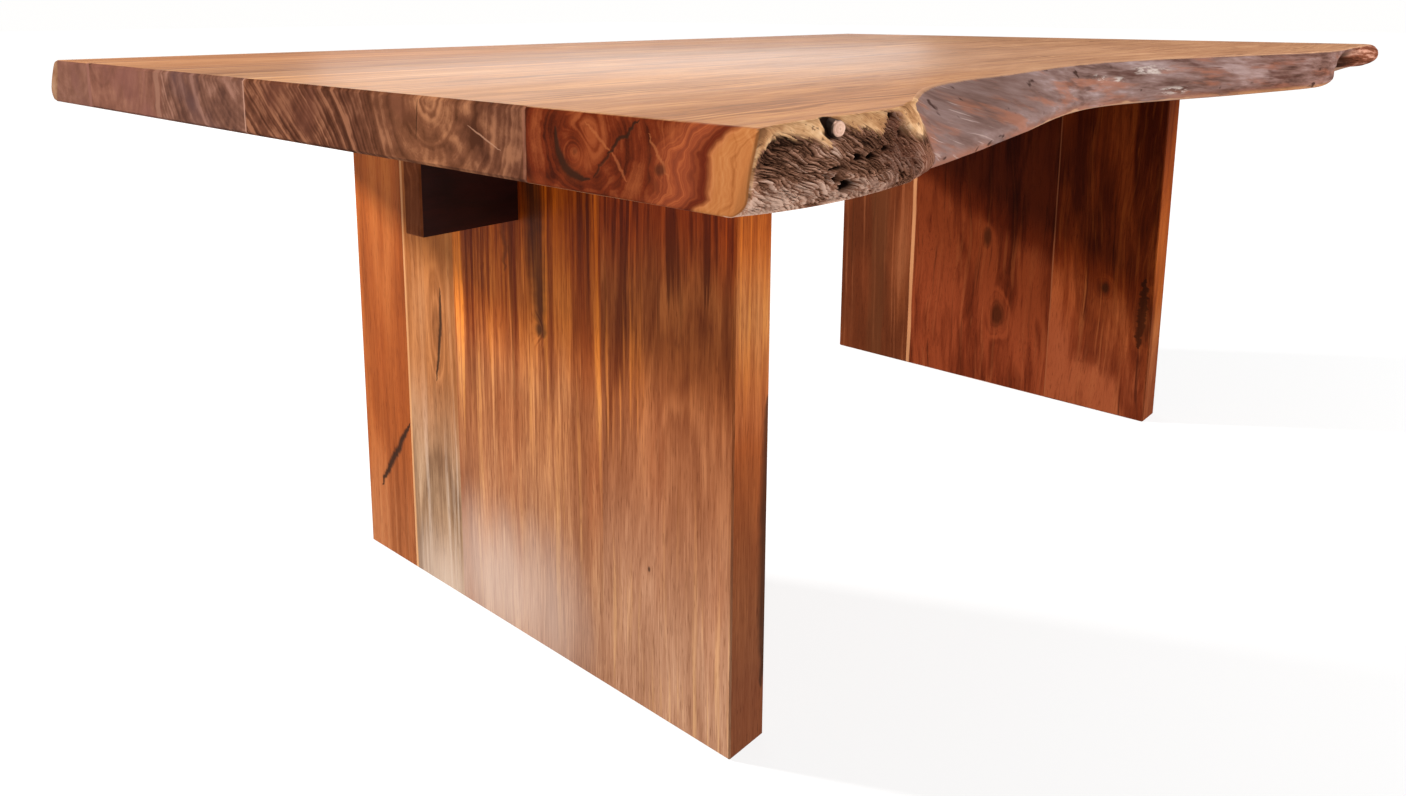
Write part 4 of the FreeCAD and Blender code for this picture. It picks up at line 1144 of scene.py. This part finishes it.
def liveBoard(pieceName, spec, finish):
    cad = nodes[spec["node"]]
    low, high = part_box(spec["node"])
    out = spec["outward"]
    seam = (high.y if out < 0 else low.y) * out
    topZ, underZ = high.z, low.z
    thick = topZ - underZ
    half = high.x
    corners = [vertex.co for vertex in cad.data.vertices]
    solid = BVHTree.FromPolygons(corners, [polygon.vertices for polygon in cad.data.polygons])
    xs = boardStations(spec["steps"], half)
    insetX, insetZ = boardMesh["rayInset"]

    def surface(drop):
        # how far out the CAD surface stands at each station
        found = []
        for x in np.clip(xs, insetX - half, half - insetX):
            start = Vector((x, out * boardMesh["rayFrom"], topZ - drop))
            found.append(solid.ray_cast(start, Vector((0.0, -out, 0.0)))[0].y * out)
        return np.array(found)[:, None]

    def along(label):
        return table(spec[label], xs)[:, None]

    def fade(label, values):
        return smooth(*boardMesh[label], values)

    belly = boardMesh["bellyShare"]
    atTop, atBelly, atUnder = surface(insetZ), surface(belly * thick), surface(thick - insetZ)
    share = np.linspace(0.0, 1.0, spec["faceRows"])[None, :]
    lift = along("underLift")
    drop = share * (thick - lift)
    upper = np.clip(share / belly, 0.0, 1.0)
    bulge = 0.5 * upper + 0.5 * np.sin(upper * math.pi / 2)
    lower = np.clip((share - belly) / (1.0 - belly), 0.0, 1.0)
    plain = atTop + (atBelly - atTop) * bulge + (atUnder - atBelly) * (1.0 - np.cos(lower * math.pi / 2))
    face = plain - roundOff(along("topRound"), drop) - roundOff(along("underRound"), thick - lift - drop)
    rimDown = along("rimDown")
    face = face - along("rimIn") * np.clip(1.0 - drop / rimDown, 0.0, 1.0) ** 2 - along("scarIn")
    cut, pit = boardHollows(spec["hollows"], xs, drop)
    fromNear, fromFar = xs[:, None] + half, half - xs[:, None]
    nearRound, farRound = spec["endRounds"]
    endIn = roundOff(nearRound, fromNear) + roundOff(farRound, fromFar)
    face = face - cut - endIn
    # weights of bark and bare skin, and the golden crest between them
    barkLine, skinLine = table(spec["barkLine"], share), table(spec["skinLine"], share)
    before, after = boardMesh["barkFade"]
    bark = 1.0 - smooth(barkLine - before, barkLine + after, xs[:, None])
    before, after = boardMesh["skinFade"]
    skin = smooth(skinLine - before, skinLine + after, xs[:, None])
    crest = (1.0 - bark) * (1.0 - skin) * (1.0 - fade("crestFade", share))
    corner = (1.0 - fade("cornerFade", fromNear)) * (1.0 - 0.7 * fade("cornerLow", share))
    weight = fade("reliefTop", share) * (1.0 - fade("reliefFoot", share)) * fade("reliefNear", fromNear)
    # plane of the sanded foot
    footIn = along("footIn")
    atFoot = plain[:, -1:] - footIn + boardMesh["footSlope"] * (thick - lift - drop)
    sanded = np.where(footIn > 0.0, atFoot, plain + 1.0) - endIn
    # the loop round each station: top from the seam, face, underside back to the seam
    arris = np.minimum(face[:, :1], sanded[:, :1])
    topOut = seam + (arris - seam) * np.array(boardMesh["topShares"])
    base = np.minimum(face[:, -1:], sanded[:, -1:])
    underOut = seam + (base - seam) * np.array(boardMesh["underShares"])
    underZs = underZ + lift * (1.0 - fade("liftFade", base - underOut))
    easeIn = roundOff(boardMesh["endEase"], half - np.abs(xs))[:, None]
    zs = np.concatenate((np.full(topOut.shape, topZ), topZ - drop, underZs), axis=1)
    zs = np.clip(zs, underZ + easeIn, topZ - easeIn)
    outs = np.concatenate((topOut, face, underOut), axis=1)
    total, count = outs.shape
    points = np.stack((np.repeat(xs[:, None], count, axis=1), outs * out, zs), axis=2).reshape(-1, 3)
    mesh = bpy.data.meshes.new(pieceName)
    mesh.from_pydata(points.tolist(), [], loopFaces(total, count, out > 0))
    # values that the relief and the finish read, with what they are off the live face
    layers = {
        "bark": (bark, 0.0),
        "skin": (skin, 0.0),
        "face": (weight, 0.0),
        "gold": (np.maximum(crest, corner), 0.0),
        "pit": (pit, 0.0),
        "live": (1.0, 0.0),
        "rimGap": (drop - rimDown, 0.0),
        "sanded": (sanded, boardMesh["unsanded"]),
    }
    onFace = slice(topOut.shape[1], topOut.shape[1] + face.shape[1])
    for label, (values, elsewhere) in layers.items():
        filled = np.full(outs.shape, elsewhere)
        filled[:, onFace] = values
        layer = mesh.attributes.new(label, "FLOAT", "POINT")
        layer.data.foreach_set("value", filled.astype(np.float32).ravel())
    piece = addObject(pieceName, mesh)
    tree = relief(pieceName + "Relief", spec["relief"])
    shaped = applyTree(piece, tree, {**spec["relief"], "Finish": finish})
    softShade(shaped, boardMesh["sharpAngle"])
    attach(piece, "root")
    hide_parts(spec["node"])
    print("table:", pieceName, len(shaped.vertices), "points")


liveBoard("liveFrontBoard", frontEdge, woodFinishes["top_front_board"])
liveBoard("liveBackBoard", backEdge, woodFinishes["top_back_board"])


# sawn branch stub that stands in the hollow of the bark
branchStub = {
    "place": (-0.9215, -0.6335, 0.7546), "radius": 0.0060, "depth": 0.011, "dome": 0.0011, "turn": 12.0,
    "sides": 40,
    # share of the radius; share of the dome where below 0, or else of the depth behind the sawn end
    "rows": (
        (0.0, -1.0), (0.45, -0.85), (0.8, -0.4), (0.95, 0.0),
        (1.0, 0.08), (1.03, 0.35), (1.12, 1.0), (0.0, 1.0),
    ),
    # size, count and phase of the waves in its outline
    "waves": ((0.05, 2.0, 0.6), (0.03, 5.0, 0.0)), "grain": (500.0, 120.0, 500.0), "ringCount": 1100.0,
    "stops": shades((0.34, 0.155, 0.100), (0.68, 0.42, 0.31), (0.82, 0.58, 0.46)),
    # near black for the bark round the stub, partly painted shade
    "bark": (0.006, 0.003, 0.002), "sharpAngle": 50.0,
}


def stubFinish(spec):
    material, spot = newFinish("stubFinish")
    sockets = {"Vector": spot, "Location": spec["place"]}
    local = spot.add("ShaderNodeMapping", {"vector_type": "TEXTURE"}, sockets)
    x, y, z = local.parts()
    grain = local.grow(spec["grain"]).cloud(3.0, 0.6)
    away = spot.join(x, 0.0, z).length()
    rings = (away + grain.swing(0.0006)).bands(spec["ringCount"], 1.0, 0.5)
    tone = 0.55 + rings.swing(0.8) + grain.swing(0.6) - (1.0 - away.ease(0.0, 0.0012)) * 0.4
    # near black round the rim and down the sides: bark, partly painted shade in the hollow round the stub
    rim = away.ease(spec["radius"] * 0.86, spec["radius"]).most(y.ease(0.001, 0.003))
    colour = tone.ramp(spec["stops"]).blend(spec["bark"], rim * 0.95)
    closeFinish(spot, colour, 0.6 + grain.swing(0.2), 0.08, (grain + rings, 0.3, 0.0003))
    return material


def makeStub(spec):
    points, faces, last = [], [], None
    placeX, placeY, placeZ = spec["place"]
    turn = math.radians(spec["turn"])
    sides = spec["sides"]
    for wide, back in spec["rows"]:
        # the sawn end bulges a little, the root sits in the wood
        deep = back * spec["dome"] if back < 0 else back * spec["depth"]
        ring = []
        for side in range(sides if wide else 1):
            angle = math.tau * side / sides
            unround = sum(size * math.sin(count * angle + phase) for size, count, phase in spec["waves"])
            reach = spec["radius"] * wide * (1.0 + unround)
            u, v = reach * math.cos(angle), reach * math.sin(angle)
            ring.append(len(points))
            pointX = placeX + u * math.cos(turn) + deep * math.sin(turn)
            pointY = placeY - u * math.sin(turn) + deep * math.cos(turn)
            points.append((pointX, pointY, placeZ + v))
        here = ring if wide else ring * sides
        for side in range(sides if last else 0):
            after = (side + 1) % sides
            faces.append(tuple(dict.fromkeys((last[side], last[after], here[after], here[side]))))
        last = here
    mesh = bpy.data.meshes.new("branchStub")
    mesh.from_pydata(points, [], faces)
    softShade(mesh, spec["sharpAngle"])
    mesh.materials.append(stubFinish(spec))
    piece = addObject("branchStub", mesh)
    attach(piece, "root")
    print("table: branch stub", len(points), "points")


makeStub(branchStub)
